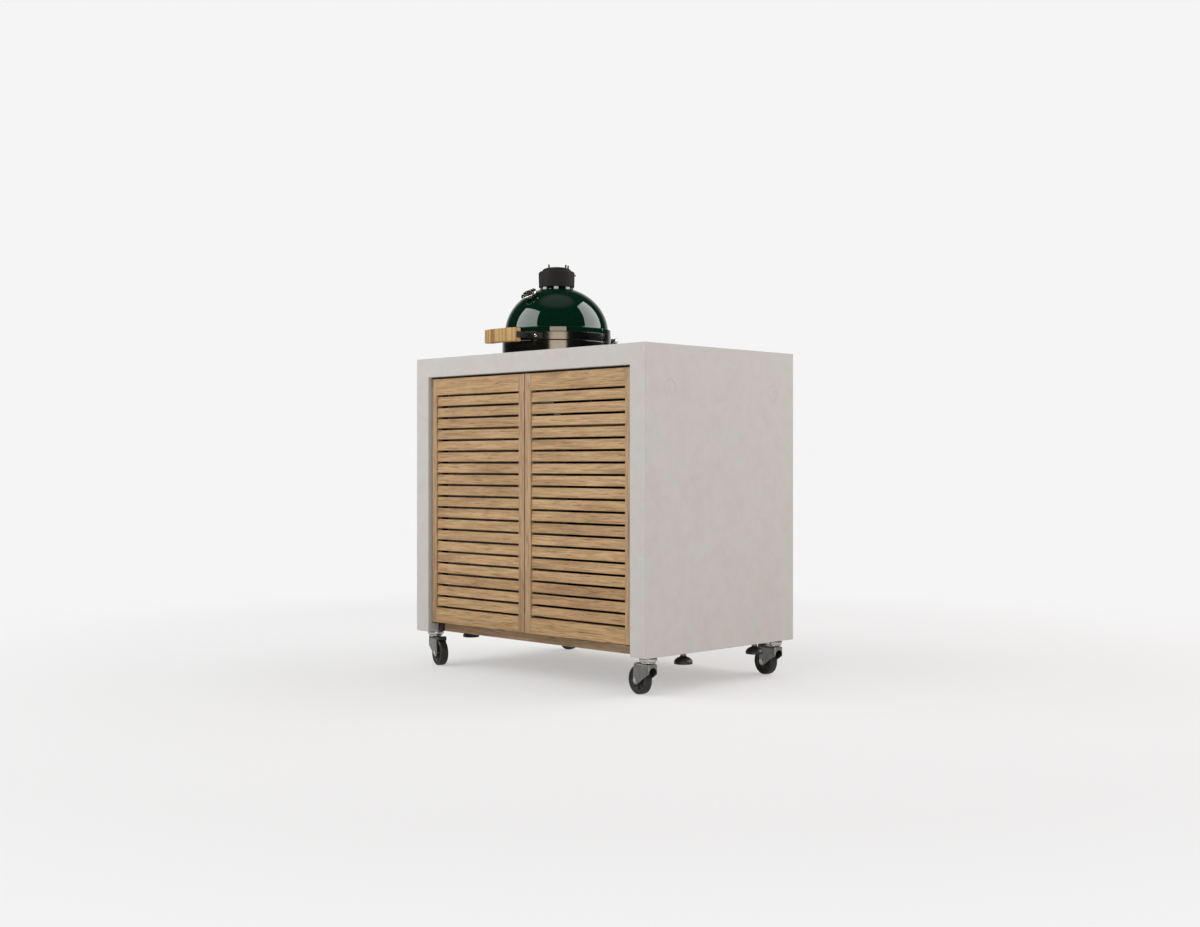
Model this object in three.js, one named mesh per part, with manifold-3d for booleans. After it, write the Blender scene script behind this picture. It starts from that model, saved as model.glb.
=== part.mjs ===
// Kamado grill table: a concrete waterfall cabinet on casters, with two louvred doors and a
// ceramic kamado set into its worktop. Millimetres, +Z up, +X to the right seen from the front,
// the front faces -Y. The origin is on the floor, at the centre of the cabinet's footprint.
import * as THREE from 'three';
import { mergeVertices } from 'three/addons/utils/BufferGeometryUtils.js';
import Module from 'manifold-3d';

const wasm = await Module();
wasm.setup();

// Clearances shared by all pieces
const jointGap = 0.3; // between pieces that touch
const overrun = 2; // how far a cutting solid passes the faces it cuts
const weldLap = 1; // how far the members of one welded or cast piece run into each other
const right = 1;
const left = -1;

// Cabinet
const tableWidth = 928;
const tableDepth = 605;
const tableHeight = 900;
const groundClearance = 100;
const concreteThickness = 55;
const backPanelThickness = 12;
const backPanelRecess = 10;
const bottomShelfThickness = 28;
const bottomShelfSetback = 44; // from the cabinet's front face
const kamadoShelfThickness = 20;

// Steel frame inside the cabinet
const tubeSize = 20;
const postToDoor = 5;
const tabThickness = 3;
const tabWidth = 25;
const tabMargin = 8; // tab material in front of the pivot

// Doors
const doorRecess = 10;
const doorThickness = 22;
const doorSideGap = 3;
const doorCentreGap = 3;
const doorTopGap = 6;
const doorRise = 29; // lower edge above the cabinet's lower edge
const stileWidth = 23;
const topRailWidth = 46.7;
const bottomRailWidth = 42.7;
const hingeEdgeRadius = 5;
const pivotInset = 12; // pivot axis from the door's hinge edge
const pivotPinRadius = 3;
const pivotPinDepth = 18; // length of pin held in the door

// Louvres
const slatCount = 19;
const louvreGap = 5.5; // between slats, and between a rail and its slat
const slatThickness = 6.5;
const slatTiltDegrees = 6;
const slatInset = 2; // slats behind the face of the stiles
const slatChamfer = 1.2;
const slatHousing = 6; // slat end let into the stile

// Casters
const casterSideInset = 33; // swivel axis from the cabinet's side face
const casterEndInset = 45.5; // from its front and back faces
const casterTrail = 34;
const trailsRight = 0; // degrees, direction in which a wheel trails its swivel axis
const trailsLeft = 170;
const trailsForward = -17;
const wheelRadius = 37.5;
const tyreHalfWidth = 12;
const tyreEdge = 2;
const rimRadius = 31;
const rimHalfWidth = 8;
const hubRadius = 9;
const axleRadius = 4;
const axleHeadRadius = 7;
const axleHeadHeight = 3;
const forkHalfWidth = 15.5;
const forkSheet = 2.2;
const forkCrown = 3.2;
const forkLead = 21; // ahead of the swivel axis
const forkCrownTrail = 33; // crown behind the swivel axis
const forkCheekTrail = 43; // cheeks behind the swivel axis
const forkEndRadius = 12;
const forkLeadDrop = 24; // upright front edge of a cheek
const forkSkirt = 9; // lip folded down at the front of the crown
const casterStemRadius = 6;
const casterStemLength = 42;
const headFlangeRadius = 21;
const headFlangeHeight = 2.4;
const raceRadius = 23.5;
const raceHeight = 10;
const raceEdge = 1.5;
const lowerRaceRadius = 20;
const lowerRaceHeight = 5.5;
const rivetRadius = 9;
const rivetHeight = 2;
const pedalHalfWidth = 12.5;
const pedalPinRadius = 1.7;
const pedalRootRadius = 3;
const pedalPivotTrail = 38;
const pedalPivotHeight = 79.2;
const pedalLength = 15.5; // from its pivot to its tip
const pedalHeight = 5.7; // from its pivot up to its tread
const pedalUpperShares = [[0.16, 0.96], [0.94, 1], [1, 0.5], [1, -0.6]]; // of length and height
const pedalLowerShares = [[0.88, -1.02], [0.4, -0.56]];

// Levelling feet
const footSideInset = 34;
const frontFootInset = 181;
const rearFootInset = 129.9;
const footClearance = 68.4; // pad above the floor when wound up
const padRadius = 24.5;
const padEdge = 2;
const padEdgeHeight = 8;
const padHeight = 22;
const padCollarRadius = 8;
const footStemRadius = 4.5;
const footStemHeld = 100; // stem inside the panel when wound up
const footTravelUp = 6;

// Kamado, measured from the plane where bowl and lid meet
const kamadoX = -182;
const kamadoY = 0;
const kamadoRise = 48; // that plane above the worktop
const nestHeight = 32;
const bowlDepth = 204;
const ceramicWall = 18;
const bodyRadius = 153;
const rimNeckStep = 4.5; // rim's neck beyond the body
const rimWall = 21.5;
const lipStep = 2.5; // lip beyond the rim's neck
const lipHeight = 12;
const lipEdge = 2;
const bowlCentre = -40;
const bowlSemiHeight = 190;
const domeCentre = 30;
const domeSemiHeight = 137;
const gasketThickness = 3;
const gasketWidth = 14;
const cutoutClearance = 10;
const bandThickness = 3.2;
const lidBandHeight = 22.8;
const bowlBandHeight = 23.4;
const bowlBandRib = 1.6;
const ribCount = 3;
const ribHeight = 3.4;
const neckRadius = 40;
const neckBore = 34;
const neckHeight = 12;
const ventShoulderRadius = 46;

// Vent cap and its rotor
const capFootGap = 4; // skirt above the dome's shoulder
const capBottomRadius = 54;
const capTopRadius = 51.5;
const capSkirt = 45;
const capEdge = 3.5;
const capWall = 4.5;
const capLedge = 3.5;
const capLedgeRadius = 36;
const ventHoleRadius = 10;
const ventHoleCircle = 26;
const ventHoleCount = 3;
const rotorRadius = 42;
const rotorRim = 4;
const rotorCrown = 9;
const spindleRadius = 6;
const spindleLength = 9;
const nubRadius = 3;
const nubHeight = 14.5;
const nubCircle = 34;
const nubDegrees = [10, 28, 200]; // places round the rotor's circle

// Thermometer on the front of the dome
const thermometerAngleDegrees = 47; // parameter along the dome's ellipse
const thermometerRadius = 24.5;
const thermometerDepth = 9;
const thermometerEdge = 2;
const thermometerCollarRadius = 9;
const thermometerCollar = 6;
const thermometerRecess = 1.6;
const thermometerBezel = 2.6;
const probeRadius = 3.2;
const probeLength = 52;

// Handle and its bracket
const handleReach = 45; // inner side of the grip from the band
const handleThickness = 27;
const handleHeight = 39;
const handleRise = 11.5; // centre above the rim plane
const handleHalfAngleDegrees = 17;
const handleRound = 5;
const strapThickness = 3.4;
const strapHeight = 17;
const bracketRise = 11.5; // centre above the rim plane
const bracketArmInset = 3; // end of an arm behind the grip's outer face
const bracketFootAngleDegrees = 32;
const bracketBoltRadius = 4;
const bracketBoltHeight = 3;

// Lid hinge
const hingeReach = 27; // axis from the band
const hingeAxisRise = 14;
const hingePinRadius = 4;
const hingeEyeRadius = 9;
const hingePlateThickness = 3;
const hingeLidPlateHeight = 17;
const hingeBowlPlateHeight = 19;
const hingePlateMargin = 6; // plate beyond the middle of its outer arm
const hingeLidArm = 48; // centre of an arm from the middle
const hingeBowlArm = 60;
const hingeArmThickness = 4;
const hingeArmInset = 1.2; // an arm's root beyond its plate's inner face

// Inside the kamado
const fireBoxGap = 8; // to the bowl's inner wall
const fireBoxWall = 14;
const fireBoxTop = -75;
const fireBoxPortMargin = 7; // its port beyond the bowl's port, at the sides and above
const fireRingTop = -30;
const fireRingWall = 16;
const grateHeight = 6;
const grateDrop = 106; // centre of the bowl's ellipse down to the grate's ledge
const grateLedge = 5;
const grateSlots = 5;
const grateSlotWidth = 6;
const gridBar = 5;
const gridBars = 7;
const gridSetback = 2; // rim of the grid inside the ring's outer edge
const gridInset = 0.6; // bars below the top of the ring
const gridWeldShare = 0.7; // of the ring's bar, how far its inner side is from a bar's end

// Draft port, its frame and its sliding door
const portHalfWidth = 38;
const portBottom = -183;
const portTop = -157;
const bossSideMargin = 12; // boss beyond the port, at each side
const bossMargin = 9; // above and below
const bossProud = 1; // front face of the boss beyond the bowl's wall above it
const draftTravel = 80;
const draftSheet = 3;
const draftLap = 4; // door beyond the port on each side
const draftHook = 3;
const draftKnobRadius = 5;
const draftKnobLength = 14;

// Nest under the bowl, a rolled steel ring
const nestMargin = 8; // beyond the bowl's foot
const nestSheet = 3;
const nestFootWidth = 11;
const nestTopWidth = 25;

// Facets round a full turn
const kamadoSides = 30;
const capSides = 22;
const innerSides = 20;
const wheelSides = 18;
const smallSides = 12;
const pinSides = 8;
const hexSides = 6;
const strapSteps = 5; // along a curved strap
const cornerSteps = 4; // along a rounded corner or half an eye
const shortSteps = 3; // along a short foot or a small root
const shellSteps = 5; // along the bowl's wall
const domeSteps = 8;
const liningSteps = 4;
const clayArcSteps = 3;

// Places that follow from the sizes above
const front = -tableDepth / 2;
const back = tableDepth / 2;
const slabUnderside = tableHeight - concreteThickness;
const panelInner = tableWidth / 2 - concreteThickness;
const frameOuter = panelInner - jointGap;
const frameInner = frameOuter - tubeSize;
const doorFront = front + doorRecess;
const doorBack = doorFront + doorThickness;
const doorBottom = groundClearance + doorRise;
const doorTop = slabUnderside - doorTopGap;
const postFront = doorBack + postToDoor;
const backPanelFront = back - backPanelRecess - backPanelThickness;
const postBack = backPanelFront - jointGap;
const frameTop = slabUnderside - jointGap;
const bottomShelfTop = groundClearance + bottomShelfThickness;
const rimPlane = tableHeight + kamadoRise;
const kamadoShelfHeight = rimPlane - bowlDepth - nestHeight; // upper face
const shelfRailTop = kamadoShelfHeight - kamadoShelfThickness - jointGap;
const pivotX = panelInner - doorSideGap - pivotInset;
const pivotY = doorFront + doorThickness / 2;
const casterX = tableWidth / 2 - casterSideInset;
const casterY = tableDepth / 2 - casterEndInset;
const footX = tableWidth / 2 - footSideInset;
const frontFootY = front + frontFootInset;
const rearFootY = back - rearFootInset;
const rimNeckRadius = bodyRadius + rimNeckStep;
const rimInnerRadius = rimNeckRadius - rimWall;
const lipRadius = rimNeckRadius + lipStep;
const bandSeat = rimNeckRadius + jointGap;
const bandOuter = bandSeat + bandThickness;
const bossHalfWidth = portHalfWidth + bossSideMargin;
const bossTop = portTop + bossMargin;
const bossReach = ellipseRadius(bodyRadius, bowlSemiHeight, bowlCentre, bossTop) + bossProud;
const bowlFootRadius = ellipseRadius(bodyRadius, bowlSemiHeight, bowlCentre, -bowlDepth);
const nestRadius = bowlFootRadius + nestMargin;
const radians = THREE.MathUtils.degToRad;

// A triangle mesh as a solid: shared vertices merged, empty triangles dropped, faces turned out.
function solidOf(geometry) {
  const bare = geometry.clone();
  bare.deleteAttribute('normal');
  bare.deleteAttribute('uv');
  const merged = mergeVertices(bare);
  const places = merged.getAttribute('position');
  const corner = [new THREE.Vector3(), new THREE.Vector3(), new THREE.Vector3()];
  const triangles = [];
  let volume = 0;
  for (let i = 0; i < merged.index.count; i += 3) {
    const ids = [merged.index.getX(i), merged.index.getX(i + 1), merged.index.getX(i + 2)];
    if (new Set(ids).size < 3) continue;
    ids.forEach((id, k) => corner[k].fromBufferAttribute(places, id));
    volume += corner[0].dot(corner[1].cross(corner[2]));
    triangles.push(ids);
  }
  const turned = volume < 0 ? triangles.map(([a, b, c]) => [a, c, b]) : triangles;
  return new wasm.Manifold(
    new wasm.Mesh({
      numProp: 3,
      vertProperties: new Float32Array(places.array),
      triVerts: new Uint32Array(turned.flat()),
    }),
  );
}

function geometryOf(solid) {
  const mesh = solid.getMesh();
  const geometry = new THREE.BufferGeometry();
  geometry.setAttribute('position', new THREE.BufferAttribute(mesh.vertProperties, 3));
  geometry.setIndex(new THREE.BufferAttribute(mesh.triVerts, 1));
  geometry.computeVertexNormals();
  return geometry;
}

// A rectangular block between two corners.
function block(x0, x1, y0, y1, z0, z1) {
  const geometry = new THREE.BoxGeometry(x1 - x0, y1 - y0, z1 - z0);
  geometry.translate((x0 + x1) / 2, (y0 + y1) / 2, (z0 + z1) / 2);
  return solidOf(geometry);
}

// A revolved profile of [radius, height] points about the Z axis. Its first point faces -Y.
function turned(profile, sides) {
  const points = profile.map(([radius, height]) => new THREE.Vector2(radius, height));
  const geometry = new THREE.LatheGeometry(points, sides);
  geometry.rotateX(Math.PI / 2);
  return solidOf(geometry);
}

function rod(radius, z0, z1, sides = pinSides) {
  return turned([[0, z0], [radius, z0], [radius, z1], [0, z1]], sides);
}

function shapeOf(outline) {
  return new THREE.Shape(outline.map(([u, v]) => new THREE.Vector2(u, v)));
}

function extruded(shape, length, options = {}) {
  return new THREE.ExtrudeGeometry(shape, { depth: length, bevelEnabled: false, steps: 1, ...options });
}

// Prisms of an outline: in plan, seen from the front, and seen from the side.
function prismZ(shape, z0, z1) {
  const geometry = extruded(shape, z1 - z0);
  geometry.translate(0, 0, z0);
  return solidOf(geometry);
}

function prismY(shape, y0, y1) {
  const geometry = extruded(shape, y1 - y0);
  const turn = new THREE.Matrix4().makeBasis(
    new THREE.Vector3(1, 0, 0),
    new THREE.Vector3(0, 0, 1),
    new THREE.Vector3(0, -1, 0),
  );
  geometry.applyMatrix4(turn);
  geometry.translate(0, y1, 0);
  return solidOf(geometry);
}

function prismX(shape, x0, x1) {
  const geometry = extruded(shape, x1 - x0);
  const turn = new THREE.Matrix4().makeBasis(
    new THREE.Vector3(0, 1, 0),
    new THREE.Vector3(0, 0, 1),
    new THREE.Vector3(1, 0, 0),
  );
  geometry.applyMatrix4(turn);
  geometry.translate(x0, 0, 0);
  return solidOf(geometry);
}

function rodX(radius, x0, x1, y, z, sides = pinSides) {
  return rod(radius, x0, x1, sides).rotate([0, 90, 0]).translate([0, y, z]);
}

function rodY(radius, y0, y1, x, z, sides = pinSides) {
  return rod(radius, -y1, -y0, sides).rotate([90, 0, 0]).translate([x, 0, z]);
}

// A sector of a ring in plan, its middle towards the direction of centreAngle.
function sector(inner, outer, halfAngle, centreAngle, sides) {
  const shape = new THREE.Shape();
  shape.absarc(0, 0, outer, centreAngle - halfAngle, centreAngle + halfAngle, false);
  shape.absarc(0, 0, inner, centreAngle + halfAngle, centreAngle - halfAngle, true);
  shape.closePath();
  return new THREE.Shape(shape.extractPoints(sides).shape.slice(0, -1));
}

// Points of an ellipse's quarter, from one radius to another, as [radius, height].
function ellipseArc(semiWidth, semiHeight, centre, fromRadius, toRadius, steps) {
  const start = Math.acos(fromRadius / semiWidth) * Math.sign(semiHeight);
  const end = Math.acos(toRadius / semiWidth) * Math.sign(semiHeight);
  const points = [];
  for (let i = 0; i <= steps; i += 1) {
    const t = start + ((end - start) * i) / steps;
    points.push([semiWidth * Math.cos(t), centre + Math.abs(semiHeight) * Math.sin(t)]);
  }
  return points;
}

function ellipseRadius(semiWidth, semiHeight, centre, height) {
  return semiWidth * Math.sqrt(1 - ((height - centre) / semiHeight) ** 2);
}

const table = new THREE.Group();

function add(parent, name, solid, finish) {
  const material = new THREE.MeshStandardMaterial(finish);
  const mesh = new THREE.Mesh(geometryOf(solid), material);
  mesh.name = name;
  parent.add(mesh);
}

// Finishes
const concrete = { color: 0xc5c0bb, roughness: 0.85, metalness: 0 };
const oak = { color: 0xc79a66, roughness: 0.6, metalness: 0 };
const bamboo = { color: 0xd9b57c, roughness: 0.5, metalness: 0 };
const darkSteel = { color: 0x2b2624, roughness: 0.5, metalness: 0.4 };
const zinc = { color: 0xa7a9ab, roughness: 0.35, metalness: 0.9 };
const blackRubber = { color: 0x1d1d1f, roughness: 0.7, metalness: 0 };
const blackPlastic = { color: 0x161618, roughness: 0.45, metalness: 0 };
const greenGlaze = { color: 0x0b3a22, roughness: 0.12, metalness: 0 };
const blackSteel = { color: 0x141414, roughness: 0.35, metalness: 0.5 };
const castIron = { color: 0x2a2a2b, roughness: 0.6, metalness: 0.5 };
const stainless = { color: 0xb9bbbd, roughness: 0.3, metalness: 1 };
const fireClay = { color: 0xb8a48a, roughness: 0.9, metalness: 0 };
const felt = { color: 0x4a4a48, roughness: 1, metalness: 0 };
const panelGrey = { color: 0x3a3836, roughness: 0.7, metalness: 0 };

// Concrete shell: the slab's ends are mitred on to the side panels
function buildShell() {
  const half = tableWidth / 2;
  const slabOutline = [
    [-half, tableHeight],
    [-panelInner, slabUnderside],
    [panelInner, slabUnderside],
    [half, tableHeight],
  ];
  const cutout = rod(
    lipRadius + cutoutClearance, slabUnderside - overrun, tableHeight + overrun, kamadoSides,
  ).translate([kamadoX, kamadoY, 0]);
  add(table, 'countertop', prismY(shapeOf(slabOutline), front, back).subtract(cutout), concrete);

  const mitreDrop = jointGap * Math.SQRT2;
  for (const [name, side] of [['side_panel_left', left], ['side_panel_right', right]]) {
    const outline = [
      [side * panelInner, groundClearance],
      [side * half, groundClearance],
      [side * half, tableHeight - mitreDrop],
      [side * panelInner, slabUnderside - mitreDrop],
    ];
    let panel = prismY(shapeOf(side > 0 ? outline : outline.reverse()), front, back);
    for (const y of [-casterY, casterY]) {
      const depth = groundClearance + casterStemLength + overrun;
      const hole = rod(casterStemRadius + jointGap, groundClearance - overrun, depth, smallSides);
      panel = panel.subtract(hole.translate([side * casterX, y, 0]));
    }
    for (const y of [frontFootY, rearFootY]) {
      const depth = groundClearance + footStemHeld + footTravelUp + overrun;
      const hole = rod(footStemRadius + jointGap, groundClearance - overrun, depth, smallSides);
      panel = panel.subtract(hole.translate([side * footX, y, 0]));
    }
    add(table, name, panel, concrete);
  }

  const backPanel = block(
    -frameOuter, frameOuter, backPanelFront, back - backPanelRecess, groundClearance, frameTop,
  );
  add(table, 'back_panel', backPanel, panelGrey);
}

// Welded ladder of square tube at each side, with the pivot tabs of the door
function buildFrame() {
  for (const [name, side] of [['frame_left', left], ['frame_right', right]]) {
    const tube = (y0, y1, z0, z1) => {
      const near = side > 0 ? frameInner : -frameOuter;
      return block(near, near + tubeSize, y0, y1, z0, z1);
    };
    const tab = (z0) => {
      const far = side * (frameOuter - tabWidth);
      const near = side * frameOuter;
      const y0 = pivotY - tabMargin;
      const y1 = postFront - jointGap;
      const weld = tube(y1 - weldLap, postFront + weldLap, z0, z0 + tabThickness);
      return block(Math.min(far, near), Math.max(far, near), y0, y1, z0, z0 + tabThickness).add(weld);
    };
    const railFront = postFront + tubeSize - weldLap;
    const railBack = postBack - tubeSize + weldLap;
    const lowRail = bottomShelfTop + jointGap;
    const upperHole = rod(pivotPinRadius + jointGap, frameTop - tabThickness - overrun, frameTop + overrun);
    const studTop = doorBottom + pivotPinDepth;
    const studBottom = doorBottom - jointGap - tabThickness + weldLap;
    const stud = rod(pivotPinRadius, studBottom, studTop).translate([side * pivotX, pivotY, 0]);
    const ladder = tube(postFront, postFront + tubeSize, groundClearance, frameTop)
      .add(tube(postBack - tubeSize, postBack, groundClearance, frameTop))
      .add(tube(railFront, railBack, lowRail, lowRail + tubeSize))
      .add(tube(railFront, railBack, shelfRailTop - tubeSize, shelfRailTop))
      .add(tube(railFront, railBack, frameTop - tubeSize, frameTop))
      .add(tab(frameTop - tabThickness))
      .subtract(upperHole.translate([side * pivotX, pivotY, 0]))
      .add(tab(doorBottom - jointGap - tabThickness))
      .add(stud);
    add(table, name, ladder, darkSteel);
  }

  const railEnd = frameInner - jointGap;
  const rails = [
    ['cradle_rail_front', kamadoY - nestRadius - tubeSize / 2, shelfRailTop],
    ['cradle_rail_rear', kamadoY + nestRadius - tubeSize / 2, shelfRailTop],
    ['top_rail_front', postFront, frameTop],
    ['top_rail_rear', postBack - tubeSize, frameTop],
  ];
  for (const [name, y, top] of rails) {
    add(table, name, block(-railEnd, railEnd, y, y + tubeSize, top - tubeSize, top), darkSteel);
  }
}

// Bottom board notched round the posts, and the shelf under the kamado
function buildShelves() {
  const notchX = frameInner - jointGap;
  const notchFront = postFront + tubeSize + jointGap;
  const notchBack = postBack - tubeSize - jointGap;
  const shelfFront = front + bottomShelfSetback;
  const outline = [
    [-notchX, shelfFront], [notchX, shelfFront], [notchX, notchFront], [frameOuter, notchFront],
    [frameOuter, notchBack], [notchX, notchBack], [notchX, postBack], [-notchX, postBack],
    [-notchX, notchBack], [-frameOuter, notchBack], [-frameOuter, notchFront], [-notchX, notchFront],
  ];
  add(table, 'bottom_shelf', prismZ(shapeOf(outline), groundClearance, bottomShelfTop), oak);
  const kamadoShelfBottom = kamadoShelfHeight - kamadoShelfThickness;
  const kamadoShelf = block(
    -frameOuter, frameOuter, notchFront, notchBack, kamadoShelfBottom, kamadoShelfHeight,
  );
  add(table, 'kamado_shelf', kamadoShelf, oak);
}

// One slat's section seen from the side: a tilted board, low edge outward, outer arrises chamfered
function slatShape(centreY, centreZ, width) {
  const tilt = radians(slatTiltDegrees);
  const high = width / 2;
  const deep = slatThickness / 2;
  const corners = [
    [slatChamfer - high, -deep], [-high, slatChamfer - deep], [-high, deep],
    [high, deep], [high, slatChamfer - deep], [high - slatChamfer, -deep],
  ];
  const placed = corners.map(([up, out]) => [
    centreY + up * Math.sin(tilt) + out * Math.cos(tilt),
    centreZ + up * Math.cos(tilt) - out * Math.sin(tilt),
  ]);
  return shapeOf(placed);
}

function buildDoor(name, side) {
  const door = new THREE.Group();
  table.add(door);
  const hingeEdge = side * (panelInner - doorSideGap);
  const lockEdge = (side * doorCentreGap) / 2;
  const hingeInner = hingeEdge - side * stileWidth;
  const lockInner = lockEdge + side * stileWidth;
  const span = (a, b) => [Math.min(a, b), Math.max(a, b)];

  const round = new THREE.Shape();
  const roundX = hingeEdge - side * hingeEdgeRadius;
  round.moveTo(hingeInner, doorFront);
  round.lineTo(roundX, doorFront);
  const facing = side > 0 ? 0 : Math.PI;
  const quarter = (side * Math.PI) / 2;
  round.absarc(roundX, doorFront + hingeEdgeRadius, hingeEdgeRadius, facing - quarter, facing, side < 0);
  round.absarc(roundX, doorBack - hingeEdgeRadius, hingeEdgeRadius, facing, facing + quarter, side < 0);
  round.lineTo(hingeInner, doorBack);
  round.closePath();
  const hingeOutline = new THREE.Shape(round.extractPoints(cornerSteps).shape);
  const socket = pivotPinRadius + jointGap;
  const lower = rod(socket, doorBottom - overrun, doorBottom + pivotPinDepth + overrun);
  const upper = rod(socket, doorTop - pivotPinDepth - overrun, doorTop + overrun);
  const hingeStile = prismZ(hingeOutline, doorBottom, doorTop)
    .subtract(lower.translate([side * pivotX, pivotY, 0]))
    .subtract(upper.translate([side * pivotX, pivotY, 0]));
  add(door, `${name}_hinge_stile`, hingeStile, oak);

  const opening = doorTop - doorBottom - topRailWidth - bottomRailWidth;
  const slatRise = (opening - (slatCount + 1) * louvreGap) / slatCount;
  const tilt = radians(slatTiltDegrees);
  const slatWidth = (slatRise - slatThickness * Math.sin(tilt)) / Math.cos(tilt);
  const slatY = doorFront + slatInset + (slatWidth * Math.sin(tilt) + slatThickness * Math.cos(tilt)) / 2;
  const firstZ = doorBottom + bottomRailWidth + louvreGap + slatRise / 2;
  const [slatStart, slatEnd] = span(lockInner - side * slatHousing, hingeInner - side * jointGap);
  let comb = block(...span(lockEdge, lockInner), doorFront, doorBack, doorBottom, doorTop);
  for (let i = 0; i < slatCount; i += 1) {
    const slatZ = firstZ + i * (slatRise + louvreGap);
    comb = comb.add(prismX(slatShape(slatY, slatZ, slatWidth), slatStart, slatEnd));
  }
  add(door, `${name}_louvres`, comb, oak);

  const [railStart, railEnd] = span(lockInner + side * jointGap, hingeInner - side * jointGap);
  const topRail = block(railStart, railEnd, doorFront, doorBack, doorTop - topRailWidth, doorTop);
  add(door, `${name}_top_rail`, topRail, oak);
  const bottomRail = block(railStart, railEnd, doorFront, doorBack, doorBottom, doorBottom + bottomRailWidth);
  add(door, `${name}_bottom_rail`, bottomRail, oak);

  const pin = rod(pivotPinRadius, doorTop - pivotPinDepth, frameTop).translate([side * pivotX, pivotY, 0]);
  add(door, `${name}_pivot_pin`, pin, zinc);
}

// A swivel caster whose wheel trails towards +X before the caster is turned
function buildCaster(name, x, y, turnDegrees, braked) {
  const caster = new THREE.Group();
  caster.position.set(x, y, 0);
  caster.rotation.z = radians(turnDegrees);
  table.add(caster);

  const headTop = groundClearance - jointGap;
  const flangeBottom = headTop - headFlangeHeight;
  const raceBottom = flangeBottom - raceHeight;
  const lowerRaceBottom = raceBottom - lowerRaceHeight;
  const crownTop = lowerRaceBottom - jointGap;
  const crownBottom = crownTop - forkCrown;
  const rivetTop = crownBottom - jointGap;
  const head = turned([
    [0, rivetTop - rivetHeight],
    [rivetRadius, rivetTop - rivetHeight],
    [rivetRadius, rivetTop],
    [casterStemRadius, rivetTop],
    [casterStemRadius, lowerRaceBottom],
    [lowerRaceRadius, lowerRaceBottom],
    [lowerRaceRadius, raceBottom],
    [raceRadius, raceBottom + raceEdge],
    [raceRadius, flangeBottom],
    [headFlangeRadius, flangeBottom],
    [headFlangeRadius, headTop],
    [casterStemRadius, headTop],
    [casterStemRadius, groundClearance + casterStemLength],
    [0, groundClearance + casterStemLength],
  ], smallSides);
  add(caster, `${name}_head`, head, zinc);

  // The cheek's slanting edge is tangent to its round end at the axle
  const edgeLow = crownTop - forkLeadDrop;
  const toAxle = Math.hypot(casterTrail + forkLead, edgeLow - wheelRadius);
  const edgeDirection = Math.atan2(edgeLow - wheelRadius, -forkLead - casterTrail);
  const endStart = edgeDirection + Math.acos(forkEndRadius / toAxle);
  const cheek = new THREE.Shape();
  cheek.moveTo(-forkLead, crownTop);
  cheek.lineTo(-forkLead, edgeLow);
  cheek.absarc(casterTrail, wheelRadius, forkEndRadius, endStart, 2 * Math.PI, false);
  cheek.lineTo(forkCheekTrail, crownTop);
  cheek.closePath();
  const cheekShape = new THREE.Shape(cheek.extractPoints(cornerSteps).shape);
  const cheekInner = forkHalfWidth - forkSheet;
  const crown = block(-forkLead, forkCrownTrail, -forkHalfWidth, forkHalfWidth, crownBottom, crownTop);
  const skirt = block(
    -forkLead, forkSheet - forkLead, -forkHalfWidth, forkHalfWidth, crownTop - forkSkirt, crownTop,
  );
  const kingPinHole = rod(casterStemRadius + jointGap, crownBottom - overrun, crownTop + overrun, smallSides);
  const axleHead = (y0, y1) => rodY(axleHeadRadius, y0, y1, casterTrail, wheelRadius, hexSides);
  let fork = crown.subtract(kingPinHole)
    .add(skirt)
    .add(prismY(cheekShape, -forkHalfWidth, -cheekInner))
    .add(prismY(cheekShape, cheekInner, forkHalfWidth))
    .add(rodY(axleRadius, -forkHalfWidth, forkHalfWidth, casterTrail, wheelRadius))
    .add(axleHead(-forkHalfWidth - axleHeadHeight, -cheekInner - weldLap))
    .add(axleHead(cheekInner + weldLap, forkHalfWidth + axleHeadHeight));
  if (braked) {
    fork = fork.add(rodY(pedalPinRadius, -forkHalfWidth, forkHalfWidth, pedalPivotTrail, pedalPivotHeight));
  }
  add(caster, `${name}_fork`, fork, zinc);

  const bore = axleRadius + jointGap;
  const hubHalf = cheekInner - jointGap;
  const wheel = turned([
    [bore, -hubHalf],
    [hubRadius, -hubHalf],
    [hubRadius, -rimHalfWidth],
    [rimRadius, -tyreHalfWidth],
    [wheelRadius - tyreEdge, -tyreHalfWidth],
    [wheelRadius, tyreEdge - tyreHalfWidth],
    [wheelRadius, tyreHalfWidth - tyreEdge],
    [wheelRadius - tyreEdge, tyreHalfWidth],
    [rimRadius, tyreHalfWidth],
    [hubRadius, rimHalfWidth],
    [hubRadius, hubHalf],
    [bore, hubHalf],
    [bore, -hubHalf],
  ], wheelSides).rotate([90, 0, 0]).translate([casterTrail, 0, wheelRadius]);
  add(caster, `${name}_wheel`, wheel, blackRubber);

  if (braked) {
    // Side outline: round its pivot, along the underside to the tip, and back along the tread
    const place = ([along, up]) => [
      pedalPivotTrail + along * pedalLength,
      pedalPivotHeight + up * pedalHeight,
    ];
    const outline = new THREE.Shape();
    outline.absarc(
      pedalPivotTrail, pedalPivotHeight, pedalRootRadius, Math.PI / 2, (3 * Math.PI) / 2, false,
    );
    const root = outline.extractPoints(shortSteps).shape.map((point) => [point.x, point.y]);
    const lower = pedalLowerShares.map(place).reverse();
    const upper = pedalUpperShares.map(place).reverse();
    const hole = rodY(
      pedalPinRadius + jointGap, -forkHalfWidth, forkHalfWidth, pedalPivotTrail, pedalPivotHeight,
    );
    const side = shapeOf([...root, ...lower, ...upper]);
    const pedal = prismY(side, -pedalHalfWidth, pedalHalfWidth).subtract(hole);
    add(caster, `${name}_brake_pedal`, pedal, blackPlastic);
  }
}

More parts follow.
